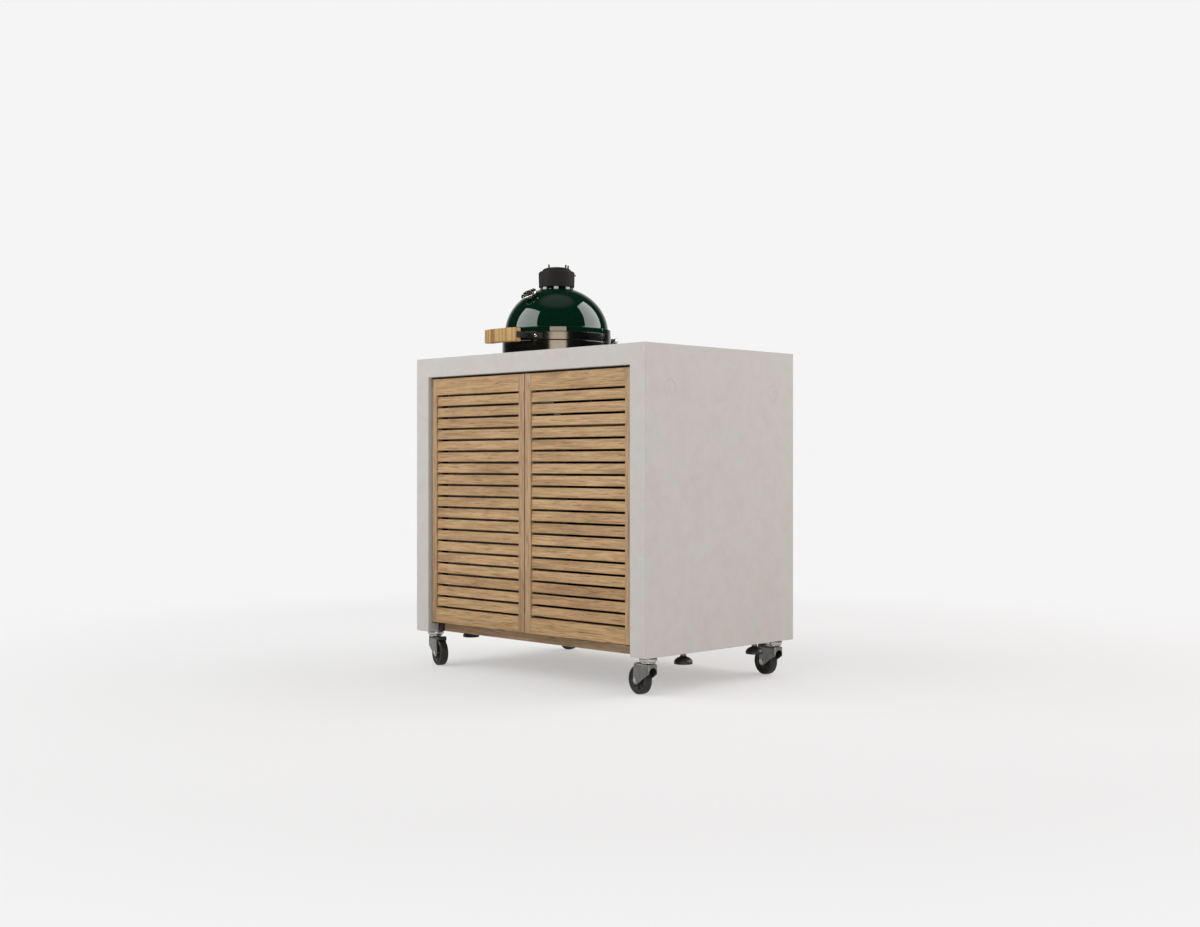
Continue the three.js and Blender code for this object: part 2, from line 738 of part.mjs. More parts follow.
function buildFoot(name, x, y) {
  const top = footClearance + padHeight;
  const foot = turned([
    [0, footClearance],
    [padRadius - padEdge, footClearance],
    [padRadius, footClearance + padEdge],
    [padRadius, footClearance + padEdgeHeight],
    [(padRadius + padCollarRadius) / 2, top - padEdgeHeight / 2],
    [padCollarRadius, top - padEdge],
    [padCollarRadius, top],
    [footStemRadius, top],
    [footStemRadius, groundClearance + footStemHeld],
    [0, groundClearance + footStemHeld],
  ], smallSides).translate([x, y, 0]);
  add(table, name, foot, blackPlastic);
}

// Kamado, in its own group whose zero is the plane between bowl and lid
function buildKamado() {
  const kamado = new THREE.Group();
  kamado.position.set(kamadoX, kamadoY, rimPlane);
  table.add(kamado);

  const bowlInnerWidth = bodyRadius - ceramicWall;
  const bowlInnerHeight = bowlSemiHeight - ceramicWall;
  const floorHeight = -bowlDepth + ceramicWall;
  const floorRadius = ellipseRadius(bowlInnerWidth, bowlInnerHeight, bowlCentre, floorHeight);
  const gasketInner = rimInnerRadius + jointGap;
  const neckBottom = -bowlBandHeight - jointGap;

  // Bowl: glazed outside, a lip under the band, a boss round the draft port
  const bowlOuter = turned([
    [0, -bowlDepth],
    ...ellipseArc(bodyRadius, -bowlSemiHeight, bowlCentre, bowlFootRadius, bodyRadius, shellSteps),
    [lipRadius, neckBottom - lipHeight],
    [lipRadius, neckBottom - 2 * jointGap],
    [rimNeckRadius, neckBottom - 2 * jointGap],
    [rimNeckRadius, 0],
    [0, 0],
  ], kamadoSides);
  const boss = block(
    -bossHalfWidth, bossHalfWidth, -bossReach, -floorRadius, portBottom - bossMargin, bossTop,
  );
  const bowlInner = turned([
    [0, floorHeight],
    ...ellipseArc(bowlInnerWidth, -bowlInnerHeight, bowlCentre, floorRadius, bowlInnerWidth, liningSteps),
    [rimInnerRadius, overrun],
    [0, overrun],
  ], kamadoSides);
  const port = block(
    -portHalfWidth, portHalfWidth, -bossReach - overrun, -floorRadius / 2, portBottom, portTop,
  );
  const bowl = bowlOuter.add(boss).subtract(bowlInner).subtract(port);
  add(kamado, 'kamado_bowl', bowl, greenGlaze);

  // Bowl band with three rolled ribs
  const bandBottom = -bowlBandHeight - jointGap;
  const bandTop = -2 * jointGap;
  const ribPitch = (bandTop - bandBottom) / ribCount;
  const bandProfile = [[bandSeat, bandBottom], [bandOuter, bandBottom]];
  for (let i = 0; i < ribCount; i += 1) {
    const middle = bandBottom + (i + 1 / 2) * ribPitch;
    bandProfile.push([bandOuter, middle - ribHeight / 2]);
    bandProfile.push([bandOuter + bowlBandRib, middle]);
    bandProfile.push([bandOuter, middle + ribHeight / 2]);
  }
  bandProfile.push([bandOuter, bandTop], [bandSeat, bandTop], [bandSeat, bandBottom]);
  add(kamado, 'bowl_band', turned(bandProfile, kamadoSides), blackSteel);

  const gasket = turned([
    [gasketInner, jointGap],
    [gasketInner + gasketWidth, jointGap],
    [gasketInner + gasketWidth, jointGap + gasketThickness],
    [gasketInner, jointGap + gasketThickness],
    [gasketInner, jointGap],
  ], innerSides);
  add(kamado, 'lid_gasket', gasket, felt);

  // Lid: rim, lip, elliptical dome, shoulder and neck, hollow inside
  const lidBottom = gasketThickness + 2 * jointGap;
  const lipBottom = lidBandHeight + 3 * jointGap;
  const lipTop = lipBottom + lipHeight;
  const domeInnerWidth = bodyRadius - ceramicWall;
  const domeInnerHeight = domeSemiHeight - ceramicWall;
  const domeShoulder = ellipseArc(
    bodyRadius, domeSemiHeight, domeCentre, bodyRadius, ventShoulderRadius, domeSteps,
  );
  const neckBase = domeShoulder.at(-1)[1];
  const neckTop = neckBase + neckHeight;
  const dome = turned([
    [0, lidBottom],
    [rimNeckRadius, lidBottom],
    [rimNeckRadius, lipBottom],
    [lipRadius, lipBottom],
    [lipRadius, lipTop - lipEdge],
    ...domeShoulder.filter(([, height]) => height > lipTop),
    [neckRadius, neckBase + (ventShoulderRadius - neckRadius) / 2],
    [neckRadius, neckTop],
    [0, neckTop],
  ], kamadoSides);
  const domeInner = turned([
    [0, lidBottom - overrun],
    [rimInnerRadius, lidBottom - overrun],
    ...ellipseArc(domeInnerWidth, domeInnerHeight, domeCentre, domeInnerWidth, neckBore, liningSteps),
    [neckBore, neckTop + overrun],
    [0, neckTop + overrun],
  ], kamadoSides);

  const along = radians(thermometerAngleDegrees);
  const seat = new THREE.Vector3(
    0, -bodyRadius * Math.cos(along), domeCentre + domeSemiHeight * Math.sin(along),
  );
  const tilt = Math.atan2(Math.sin(along) / domeSemiHeight, Math.cos(along) / bodyRadius);
  const onDome = (solid) => solid.rotate([90 - THREE.MathUtils.radToDeg(tilt), 0, 0])
    .translate([0, seat.y, seat.z]);
  const probeHole = onDome(rod(probeRadius + jointGap, -probeLength, ceramicWall));
  const lid = dome.subtract(domeInner).subtract(probeHole);
  add(kamado, 'lid_dome', lid, greenGlaze);

  const thermometerTop = thermometerCollar + thermometerDepth;
  const thermometer = turned([
    [0, -probeLength],
    [probeRadius, -probeLength],
    [probeRadius, jointGap],
    [thermometerCollarRadius, jointGap],
    [thermometerCollarRadius, thermometerCollar],
    [thermometerRadius - thermometerEdge, thermometerCollar],
    [thermometerRadius, thermometerCollar + thermometerEdge],
    [thermometerRadius, thermometerTop - thermometerEdge],
    [thermometerRadius - thermometerEdge, thermometerTop],
    [thermometerRadius - thermometerBezel, thermometerTop],
    [thermometerRadius - thermometerBezel, thermometerTop - thermometerRecess],
    [0, thermometerTop - thermometerRecess],
  ], innerSides);
  add(kamado, 'thermometer', onDome(thermometer), stainless);

  const lidBandBottom = 2 * jointGap;
  const lidBand = turned([
    [bandSeat, lidBandBottom],
    [bandOuter, lidBandBottom],
    [bandOuter, lidBandBottom + lidBandHeight],
    [bandSeat, lidBandBottom + lidBandHeight],
    [bandSeat, lidBandBottom],
  ], kamadoSides);
  add(kamado, 'lid_band', lidBand, blackSteel);

  buildVent(kamado, neckBase, neckTop);
  buildHandle(kamado);
  buildHinge(kamado, bandBottom, lidBandBottom);
  buildFireParts(kamado, bowlInnerWidth, bowlInnerHeight, floorHeight);
  buildDraft(kamado);

  const nestTop = -bowlDepth - jointGap;
  const nestBottom = -bowlDepth - nestHeight + jointGap;
  const nestInner = nestRadius - nestSheet;
  const nest = turned([
    [nestInner, nestBottom],
    [nestRadius + nestFootWidth, nestBottom],
    [nestRadius + nestFootWidth, nestBottom + nestSheet],
    [nestRadius, nestBottom + nestSheet],
    [nestRadius, nestTop],
    [nestRadius - nestTopWidth, nestTop],
    [nestRadius - nestTopWidth, nestTop - nestSheet],
    [nestInner, nestTop - nestSheet],
    [nestInner, nestBottom],
  ], smallSides);
  add(kamado, 'kamado_nest', nest, blackSteel);
}

// Vent cap: a tapered cast skirt on the neck, closed by a rotor with matching holes
function buildVent(kamado, neckBase, neckTop) {
  const skirtBottom = neckBase + capFootGap;
  const ledgeBottom = neckTop + jointGap;
  const capTop = skirtBottom + capSkirt + capEdge;
  const bore = neckRadius + 2 * jointGap;
  const innerRadius = capTopRadius - capWall;
  let cap = turned([
    [bore, skirtBottom],
    [capBottomRadius, skirtBottom],
    [capTopRadius, skirtBottom + capSkirt],
    [capTopRadius - capEdge, capTop],
    [spindleRadius + jointGap, capTop],
    [spindleRadius + jointGap, capTop - capWall],
    [innerRadius, capTop - capWall],
    [innerRadius, ledgeBottom + capLedge],
    [capLedgeRadius, ledgeBottom + capLedge],
    [capLedgeRadius, ledgeBottom],
    [bore, ledgeBottom],
    [bore, skirtBottom],
  ], capSides);
  const rotorBottom = capTop + jointGap;
  const rotorTop = rotorBottom + rotorRim + rotorCrown;
  let rotor = turned([
    [0, capTop - spindleLength],
    [spindleRadius, capTop - spindleLength],
    [spindleRadius, rotorBottom],
    [rotorRadius, rotorBottom],
    [rotorRadius, rotorBottom + rotorRim],
    ...ellipseArc(rotorRadius, rotorCrown, rotorBottom + rotorRim, rotorRadius - capEdge, 0, shortSteps),
  ], innerSides);
  const step = (2 * Math.PI) / ventHoleCount;
  for (let i = 0; i < ventHoleCount; i += 1) {
    const place = (angle, solid) => solid.translate([
      ventHoleCircle * Math.cos(angle), ventHoleCircle * Math.sin(angle), 0,
    ]);
    const hole = rod(ventHoleRadius, capTop - capWall - overrun, rotorTop + overrun);
    cap = cap.subtract(place(i * step, hole));
    rotor = rotor.subtract(place((i + 1 / 2) * step, hole));
  }
  for (const angle of nubDegrees.map(radians)) {
    const nub = rod(nubRadius, rotorBottom + rotorRim / 2, rotorBottom + rotorRim + nubHeight, hexSides);
    rotor = rotor.add(nub.translate([nubCircle * Math.cos(angle), nubCircle * Math.sin(angle), 0]));
  }
  add(kamado, 'vent_cap', cap, castIron);
  add(kamado, 'vent_rotor', rotor, castIron);
}

// Curved wooden grip held at its ends by the two arms of a strap that is bolted to the lid band
function buildHandle(kamado) {
  const handleInner = bandOuter + handleReach;
  const handleOuter = handleInner + handleThickness;
  const facingDegrees = -90;
  const facing = radians(facingDegrees);
  const gripAngle = radians(handleHalfAngleDegrees) - handleRound / handleOuter;
  const grip = sector(handleInner + handleRound, handleOuter - handleRound, gripAngle, facing, strapSteps);
  const gripGeometry = extruded(grip, handleHeight - 2 * handleRound, {
    bevelEnabled: true, bevelThickness: handleRound, bevelSize: handleRound, bevelSegments: 2,
  });
  gripGeometry.translate(0, 0, handleRise - handleHeight / 2 + handleRound);
  add(kamado, 'handle_grip', solidOf(gripGeometry), bamboo);

  const low = bracketRise - strapHeight / 2;
  const high = bracketRise + strapHeight / 2;
  const strapOuter = handleInner - jointGap;
  const strapInner = strapOuter - strapThickness;
  const footInner = bandOuter + jointGap;
  const footOuter = footInner + strapThickness;
  const armNear = handleRound + jointGap; // inner side of an arm, from the radius at the grip's angle
  const armFar = armNear + strapThickness;
  const strapAngle = gripAngle + (armNear + weldLap) / strapInner;
  const footStart = gripAngle + (armFar - weldLap) / footInner;
  const footEnd = radians(bracketFootAngleDegrees);
  const footHalfAngle = (footEnd - footStart) / 2;
  let bracket = prismZ(sector(strapInner, strapOuter, strapAngle, facing, strapSteps), low, high);
  for (const side of [left, right]) {
    const footMiddle = side * (footStart + footHalfAngle);
    const foot = sector(footInner, footOuter, footHalfAngle, facing + footMiddle, shortSteps);
    const armStart = side > 0 ? armNear : -armFar;
    const arm = block(
      footInner + jointGap, handleOuter - bracketArmInset, armStart, armStart + strapThickness, low, high,
    ).rotate([0, 0, facingDegrees + side * THREE.MathUtils.radToDeg(gripAngle)]);
    const bolt = rod(bracketBoltRadius, footOuter - weldLap, footOuter + bracketBoltHeight, hexSides)
      .rotate([0, 90, 0])
      .rotate([0, 0, facingDegrees + THREE.MathUtils.radToDeg(footMiddle)])
      .translate([0, 0, bracketRise]);
    bracket = bracket.add(prismZ(foot, low, high)).add(arm).add(bolt);
  }
  add(kamado, 'handle_bracket', bracket, blackSteel);
}

// Rear hinge: a plate and two ears with the pin on the bowl band, a plate and two eyes on the lid band
function buildHinge(kamado, bandBottom, lidBandBottom) {
  const hingeAxisY = bandOuter + hingeReach;
  const facing = radians(90);
  const lidInner = bandOuter + jointGap;
  const lidOuter = lidInner + hingePlateThickness;
  const bowlInner = bandOuter + bowlBandRib + jointGap;
  const bowlOuter = bowlInner + hingePlateThickness;
  const bowlPlateTop = bandBottom + hingeBowlPlateHeight;
  const lidPlateTop = lidBandBottom + hingeLidPlateHeight;
  const eye = (radius) => {
    const shape = new THREE.Shape();
    shape.absarc(hingeAxisY, hingeAxisRise, radius, 0, 2 * Math.PI, false);
    return new THREE.Shape(shape.extractPoints(cornerSteps).shape.slice(0, -1));
  };

  const bowlSideY = Math.sqrt(bowlInner ** 2 - hingeBowlArm ** 2);
  const plate = (inner, outer, arm) => {
    const halfAngle = Math.asin((arm + hingePlateMargin) / inner);
    return sector(inner, outer, halfAngle, facing, strapSteps);
  };
  let bowlHinge = prismZ(plate(bowlInner, bowlOuter, hingeBowlArm), bandBottom, bowlPlateTop);
  let lidHinge = prismZ(plate(lidInner, lidOuter, hingeLidArm), lidBandBottom, lidPlateTop);
  const earOutline = shapeOf([
    [bowlSideY + hingeArmInset, bandBottom],
    [bowlOuter, bandBottom],
    [hingeAxisY + hingeEyeRadius, hingeAxisRise],
    [hingeAxisY - hingeEyeRadius, hingeAxisRise],
    [bowlInner, bowlPlateTop],
    [bowlSideY + hingeArmInset, bowlPlateTop],
  ]);
  const lidSideY = Math.sqrt(lidInner ** 2 - hingeLidArm ** 2);
  const armOutline = shapeOf([
    [lidSideY + hingeArmInset, lidBandBottom],
    [hingeAxisY, hingeAxisRise - hingeEyeRadius],
    [hingeAxisY, hingeAxisRise + hingeEyeRadius],
    [lidSideY + hingeArmInset, lidPlateTop],
  ]);
  for (const side of [left, right]) {
    const halfArm = hingeArmThickness / 2;
    const earX = side * hingeBowlArm;
    const armX = side * hingeLidArm;
    bowlHinge = bowlHinge
      .add(prismX(earOutline, earX - halfArm, earX + halfArm))
      .add(prismX(eye(hingeEyeRadius), earX - halfArm, earX + halfArm));
    lidHinge = lidHinge
      .add(prismX(armOutline, armX - halfArm, armX + halfArm))
      .add(prismX(eye(hingeEyeRadius), armX - halfArm, armX + halfArm));
  }
  const reach = hingeBowlArm + hingeArmThickness;
  const bore = rodX(hingePinRadius + jointGap, -reach, reach, hingeAxisY, hingeAxisRise, smallSides);
  const pin = rodX(hingePinRadius, -reach, reach, hingeAxisY, hingeAxisRise);
  add(kamado, 'hinge_bowl_bracket', bowlHinge.add(pin), blackSteel);
  add(kamado, 'hinge_lid_bracket', lidHinge.subtract(bore), blackSteel);
}

// Fire box and ring of fire clay, charcoal grate on a ledge in the box, cooking grid on the ring
function buildFireParts(kamado, bowlInnerWidth, bowlInnerHeight, floorHeight) {
  const outerWidth = bowlInnerWidth - fireBoxGap;
  const outerHeight = bowlInnerHeight - fireBoxGap;
  const innerWidth = outerWidth - fireBoxWall;
  const innerHeight = outerHeight - fireBoxWall;
  const boxBottom = floorHeight + jointGap;
  const boxFloor = boxBottom + fireBoxWall;
  const outerAt = (height) => ellipseRadius(outerWidth, outerHeight, bowlCentre, height);
  const innerAt = (height) => ellipseRadius(innerWidth, innerHeight, bowlCentre, height);
  const seat = bowlCentre - grateDrop;
  const seatRadius = innerAt(seat + grateHeight);
  const boxTopOuter = outerAt(fireBoxTop);
  const boxTopInner = innerAt(fireBoxTop);
  const box = turned([
    [0, boxBottom],
    ...ellipseArc(outerWidth, -outerHeight, bowlCentre, outerAt(boxBottom), boxTopOuter, clayArcSteps),
    ...ellipseArc(innerWidth, -innerHeight, bowlCentre, seatRadius, boxTopInner, clayArcSteps).reverse(),
    [seatRadius, seat],
    [seatRadius - grateLedge, seat],
    [innerAt(boxFloor), boxFloor],
    [0, boxFloor],
  ], innerSides);
  const portHalf = portHalfWidth + fireBoxPortMargin;
  const port = block(
    -portHalf, portHalf, -bossReach, -innerAt(boxFloor) / 2, boxBottom - overrun, portTop + fireBoxPortMargin,
  );
  add(kamado, 'fire_box', box.subtract(port), fireClay);

  const ringOuter = boxTopOuter;
  const ringBottom = fireBoxTop + jointGap;
  const ring = turned([
    [ringOuter - fireRingWall, ringBottom],
    [ringOuter, ringBottom],
    [ringOuter, fireRingTop],
    [ringOuter - fireRingWall, fireRingTop],
    [ringOuter - fireRingWall, ringBottom],
  ], innerSides);
  add(kamado, 'fire_ring', ring, fireClay);

  const grateBottom = seat + jointGap;
  const grateRadius = seatRadius - jointGap;
  let grate = rod(grateRadius, grateBottom, grateBottom + grateHeight, innerSides);
  const slotPitch = (2 * grateRadius) / (grateSlots + 1);
  for (let i = 1; i <= grateSlots; i += 1) {
    const x = i * slotPitch - grateRadius;
    const halfLength = Math.sqrt(grateRadius ** 2 - x ** 2) - slotPitch / 2;
    const halfSlot = grateSlotWidth / 2;
    const slot = block(
      x - halfSlot, x + halfSlot, -halfLength, halfLength,
      grateBottom - overrun, grateBottom + grateHeight + overrun,
    );
    grate = grate.subtract(slot);
  }
  add(kamado, 'charcoal_grate', grate, castIron);

  const gridBottom = fireRingTop + jointGap;
  const gridRadius = ringOuter - gridSetback;
  let grid = turned([
    [gridRadius - gridBar, gridBottom],
    [gridRadius, gridBottom],
    [gridRadius, gridBottom + gridBar],
    [gridRadius - gridBar, gridBottom + gridBar],
    [gridRadius - gridBar, gridBottom],
  ], innerSides);
  const barPitch = (2 * gridRadius) / (gridBars + 1);
  for (let i = 1; i <= gridBars; i += 1) {
    const x = i * barPitch - gridRadius;
    const weldRadius = gridRadius - gridWeldShare * gridBar;
    const halfLength = Math.sqrt(weldRadius ** 2 - (Math.abs(x) + gridBar / 2) ** 2);
    grid = grid.add(block(
      x - gridBar / 2, x + gridBar / 2, -halfLength, halfLength,
      gridBottom + gridInset, gridBottom + gridBar - gridInset,
    ));
  }
  add(kamado, 'cooking_grid', grid, stainless);
}

// Draft frame with two hooked channels on the boss, and the door that slides in them
function buildDraft(kamado) {
  const plateBack = -bossReach - jointGap;
  const plateFront = plateBack - draftSheet;
  const slotDepth = draftSheet + 2 * jointGap;
  const hookBack = plateFront - slotDepth;
  const hookFront = hookBack - draftSheet;
  const low = portBottom - bossMargin;
  const high = bossTop;
  const channelLow = low + draftSheet;
  const channelHigh = high - draftSheet;
  const section = shapeOf([
    [plateBack, low], [plateBack, high], [hookFront, high], [hookFront, channelHigh - draftHook],
    [hookBack, channelHigh - draftHook], [hookBack, channelHigh], [plateFront, channelHigh],
    [plateFront, channelLow], [hookBack, channelLow], [hookBack, channelLow + draftHook],
    [hookFront, channelLow + draftHook], [hookFront, low],
  ]);
  const doorHalf = portHalfWidth + draftLap;
  const frameStart = -bossHalfWidth;
  const frameEnd = doorHalf + draftTravel + draftLap;
  const opening = block(
    -portHalfWidth, portHalfWidth, plateFront - jointGap, plateBack + overrun, portBottom, portTop,
  );
  const frame = prismX(section, frameStart, frameEnd).subtract(opening);
  add(kamado, 'draft_frame', frame, stainless);

  const doorBackFace = plateFront - jointGap;
  const doorFrontFace = doorBackFace - draftSheet;
  const knobHeight = (portBottom + portTop) / 2;
  const door = block(
    -doorHalf, doorHalf, doorFrontFace, doorBackFace, channelLow + jointGap, channelHigh - jointGap,
  ).add(rodY(
    draftKnobRadius, doorFrontFace - draftKnobLength, doorFrontFace + weldLap, doorHalf / 2, knobHeight,
  ));
  add(kamado, 'draft_door', door, stainless);
}

buildShell();
buildFrame();
buildShelves();
buildDoor('left_door', left);
buildDoor('right_door', right);
buildCaster('front_left_caster', -casterX, -casterY, trailsForward, true);
buildCaster('front_right_caster', casterX, -casterY, trailsLeft, false);
buildCaster('rear_left_caster', -casterX, casterY, trailsRight, false);
buildCaster('rear_right_caster', casterX, casterY, trailsLeft, true);
buildFoot('front_left_foot', -footX, frontFootY);
buildFoot('front_right_foot', footX, frontFootY);
buildFoot('rear_left_foot', -footX, rearFootY);
buildFoot('rear_right_foot', footX, rearFootY);
buildKamado();

export default table;
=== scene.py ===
"""Kamado grill table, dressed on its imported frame.

Lengths are in millimetres and become metres when a piece is finished. +Z is up, the front
faces -Y, and the origin is on the floor under the middle of the cabinet.
"""

import math
import random

import bmesh
import bpy
from mathutils import Matrix, Vector

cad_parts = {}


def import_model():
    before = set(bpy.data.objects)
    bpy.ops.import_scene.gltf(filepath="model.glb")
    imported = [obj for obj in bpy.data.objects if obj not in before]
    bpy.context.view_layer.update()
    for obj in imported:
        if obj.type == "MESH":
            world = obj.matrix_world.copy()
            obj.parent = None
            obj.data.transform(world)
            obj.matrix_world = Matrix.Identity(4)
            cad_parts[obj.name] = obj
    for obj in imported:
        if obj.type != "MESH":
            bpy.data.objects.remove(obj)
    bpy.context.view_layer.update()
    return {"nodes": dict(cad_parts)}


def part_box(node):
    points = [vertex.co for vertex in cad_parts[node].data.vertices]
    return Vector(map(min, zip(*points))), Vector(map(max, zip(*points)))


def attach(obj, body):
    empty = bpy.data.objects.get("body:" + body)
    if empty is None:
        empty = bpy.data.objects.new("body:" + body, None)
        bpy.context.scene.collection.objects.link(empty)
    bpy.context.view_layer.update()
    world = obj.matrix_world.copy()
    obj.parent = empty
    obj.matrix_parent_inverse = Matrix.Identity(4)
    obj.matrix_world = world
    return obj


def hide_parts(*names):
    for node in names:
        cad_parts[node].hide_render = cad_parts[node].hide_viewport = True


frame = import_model()
bpy.context.scene.view_settings.view_transform = "Standard"

MM = 0.001
LEFT = -1
RIGHT = 1
ROOT = "cabinet"
GAP = 0.3  # between neighbours in the frame


def corners(node):
    """Lowest and highest corner of a node, in millimetres."""
    low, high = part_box(node)
    return low / MM, high / MM


SLAB_LOW, SLAB_HIGH = corners("countertop")
PANEL_LOW = corners("side_panel_right")[0]
HALF_WIDTH = SLAB_HIGH.x
HALF_DEPTH = SLAB_HIGH.y
TABLE_TOP = SLAB_HIGH.z
SLAB_UNDERSIDE = SLAB_LOW.z
PANEL_INNER = PANEL_LOW.x
PANEL_FOOT = PANEL_LOW.z
KAMADO = Vector((-182.0, 0.0, 948.0))


# ------------------------------------------------------------------ outlines

def filleted(points, steps=5, closed=True):
    """An outline with rounded corners. A point is (u, v) or (u, v, corner radius)."""
    result = []
    count = len(points)
    for i, point in enumerate(points):
        here = Vector(point[:2])
        radius = point[2] if len(point) > 2 else 0.0
        at_end = not closed and i in (0, count - 1)
        if radius <= 0.0 or at_end:
            result.append(tuple(here))
            continue
        before = Vector(points[i - 1][:2]) - here
        after = Vector(points[(i + 1) % count][:2]) - here
        half = before.angle(after) / 2.0
        cut = min(radius / math.tan(half), 0.49 * before.length, 0.49 * after.length)
        radius = cut * math.tan(half)
        towards = (before.normalized() + after.normalized()).normalized()
        centre = here + towards * radius / math.sin(half)
        start = here + before.normalized() * cut - centre
        end = here + after.normalized() * cut - centre
        first = math.atan2(start.y, start.x)
        sweep = math.atan2(start.x * end.y - start.y * end.x, start.dot(end))
        for k in range(steps + 1):
            angle = first + sweep * k / steps
            result.append((centre.x + radius * math.cos(angle), centre.y + radius * math.sin(angle)))
    return result


def ellipse(half_width, half_height, start, end, steps, centre=(0.0, 0.0)):
    """Points of an ellipse between two parameters in degrees."""
    points = []
    for k in range(steps + 1):
        t = math.radians(start + (end - start) * k / steps)
        points.append((centre[0] + half_width * math.cos(t), centre[1] + half_height * math.sin(t)))
    return points


def arc(radius, start, end, steps, centre=(0.0, 0.0)):
    return ellipse(radius, radius, start, end, steps, centre)


def hexagon(radius, corner):
    angles = [math.radians(60 * k) for k in range(6)]
    return filleted([(radius * math.cos(a), radius * math.sin(a), corner) for a in angles], 2)


def ribbon(path, thickness):
    """Outline of a strip of even thickness along a path."""
    near = []
    far = []
    count = len(path)
    for i, point in enumerate(path):
        here = Vector(point)
        ahead = Vector(path[min(i + 1, count - 1)]) - here
        behind = here - Vector(path[max(i - 1, 0)])
        if ahead.length == 0.0:
            ahead = behind
        if behind.length == 0.0:
            behind = ahead
        first = Vector((-behind.y, behind.x)).normalized()
        second = Vector((-ahead.y, ahead.x)).normalized()
        normal = (first + second).normalized()
        reach = thickness / 2.0 / max(normal.dot(first), 0.3)
        near.append(tuple(here + normal * reach))
        far.append(tuple(here - normal * reach))
    return near + far[::-1]


# -------------------------------------------------------------------- solids

ALONG_X = Matrix(((0, 0, 1, 0), (1, 0, 0, 0), (0, 1, 0, 0), (0, 0, 0, 1)))
ALONG_Y = Matrix(((1, 0, 0, 0), (0, 0, -1, 0), (0, 1, 0, 0), (0, 0, 0, 1)))


def moved(bm, matrix):
    bm.transform(matrix)
    return bm


def placed(x=0.0, y=0.0, z=0.0):
    return Matrix.Translation((x, y, z))


def turned(degrees, axis="Z"):
    return Matrix.Rotation(math.radians(degrees), 4, axis)


def revolved(profile, sides, closed=False):
    """A profile of (radius, height) turned round Z. A radius of zero is a pole."""
    bm = bmesh.new()
    rings = []
    for radius, height in profile:
        if radius < 1e-6:
            rings.append([bm.verts.new((0.0, 0.0, height))])
            continue
        ring = []
        for k in range(sides):
            angle = 2.0 * math.pi * k / sides
            ring.append(bm.verts.new((radius * math.cos(angle), radius * math.sin(angle), height)))
        rings.append(ring)
    pairs = list(zip(rings, rings[1:]))
    if closed:
        pairs.append((rings[-1], rings[0]))
    for low, high in pairs:
        for k in range(sides):
            j = (k + 1) % sides
            if len(low) == 1 and len(high) == 1:
                break
            if len(low) == 1:
                bm.faces.new((low[0], high[j], high[k]))
            elif len(high) == 1:
                bm.faces.new((low[k], low[j], high[0]))
            else:
                bm.faces.new((low[k], low[j], high[j], high[k]))
    bmesh.ops.recalc_face_normals(bm, faces=bm.faces)
    return bm


def spun(profile, sides, steps, closed=True):
    """A profile turned round Z with its corners rounded. It closes on itself or at the axis."""
    return revolved(filleted(profile, steps, closed), sides, closed)


def rod(radius, low, high, sides=24):
    return revolved([(0.0, low), (radius, low), (radius, high), (0.0, high)], sides)


def prism(outline, low, high, edge=0.0, steps=2):
    """An outline in XY between two heights, the arrises of its two ends rounded."""
    bm = bmesh.new()
    bottom = [bm.verts.new((u, v, low)) for u, v in outline]
    top = [bm.verts.new((u, v, high)) for u, v in outline]
    lower = bm.faces.new(bottom[::-1])
    upper = bm.faces.new(top)
    count = len(outline)
    for k in range(count):
        j = (k + 1) % count
        bm.faces.new((bottom[k], bottom[j], top[j], top[k]))
    bmesh.ops.recalc_face_normals(bm, faces=bm.faces)
    if edge > 0.0:
        rims = list(set(lower.edges) | set(upper.edges))
        bmesh.ops.bevel(
            bm, geom=rims, offset=edge, segments=steps, profile=0.5, affect="EDGES", clamp_overlap=True,
        )
    return bm


def block(low, high, edge=0.0, steps=3):
    """A block between two corners, its arrises rounded."""
    bm = bmesh.new()
    bmesh.ops.create_cube(bm, size=1.0)
    size = Vector(high) - Vector(low)
    middle = (Vector(high) + Vector(low)) / 2.0
    bm.transform(Matrix.Translation(middle) @ Matrix.Diagonal((*size, 1.0)))
    if edge > 0.0:
        bmesh.ops.bevel(
            bm, geom=list(bm.edges), offset=edge, segments=steps, profile=0.5, affect="EDGES",
        )
    return bm


def joined(*parts):
    """Several solids as one mesh."""
    whole = bmesh.new()
    for part in parts:
        mesh = bpy.data.meshes.new("part")
        part.to_mesh(mesh)
        part.free()
        whole.from_mesh(mesh)
        bpy.data.meshes.remove(mesh)
    return whole


def as_object(name, bm):
    mesh = bpy.data.meshes.new(name)
    bm.to_mesh(mesh)
    bm.free()
    piece = bpy.data.objects.new(name, mesh)
    bpy.context.scene.collection.objects.link(piece)
    return piece


def discard(piece):
    mesh = piece.data
    bpy.data.objects.remove(piece)
    bpy.data.meshes.remove(mesh)


def with_modifiers(piece):
    """The mesh of an object with its modifiers applied, as a bmesh. The object goes."""
    graph = bpy.context.evaluated_depsgraph_get()
    mesh = bpy.data.meshes.new_from_object(piece.evaluated_get(graph))
    bm = bmesh.new()
    bm.from_mesh(mesh)
    bpy.data.meshes.remove(mesh)
    discard(piece)
    return bm


def combined(base, tool, operation="DIFFERENCE"):
    """Boolean of two solids: DIFFERENCE, UNION or INTERSECT."""
    piece = as_object("base", base)
    cutter = as_object("tool", tool)
    modifier = piece.modifiers.new("combine", "BOOLEAN")
    modifier.operation = operation
    modifier.solver = "EXACT"
    modifier.object = cutter
    result = with_modifiers(piece)
    discard(cutter)
    return result


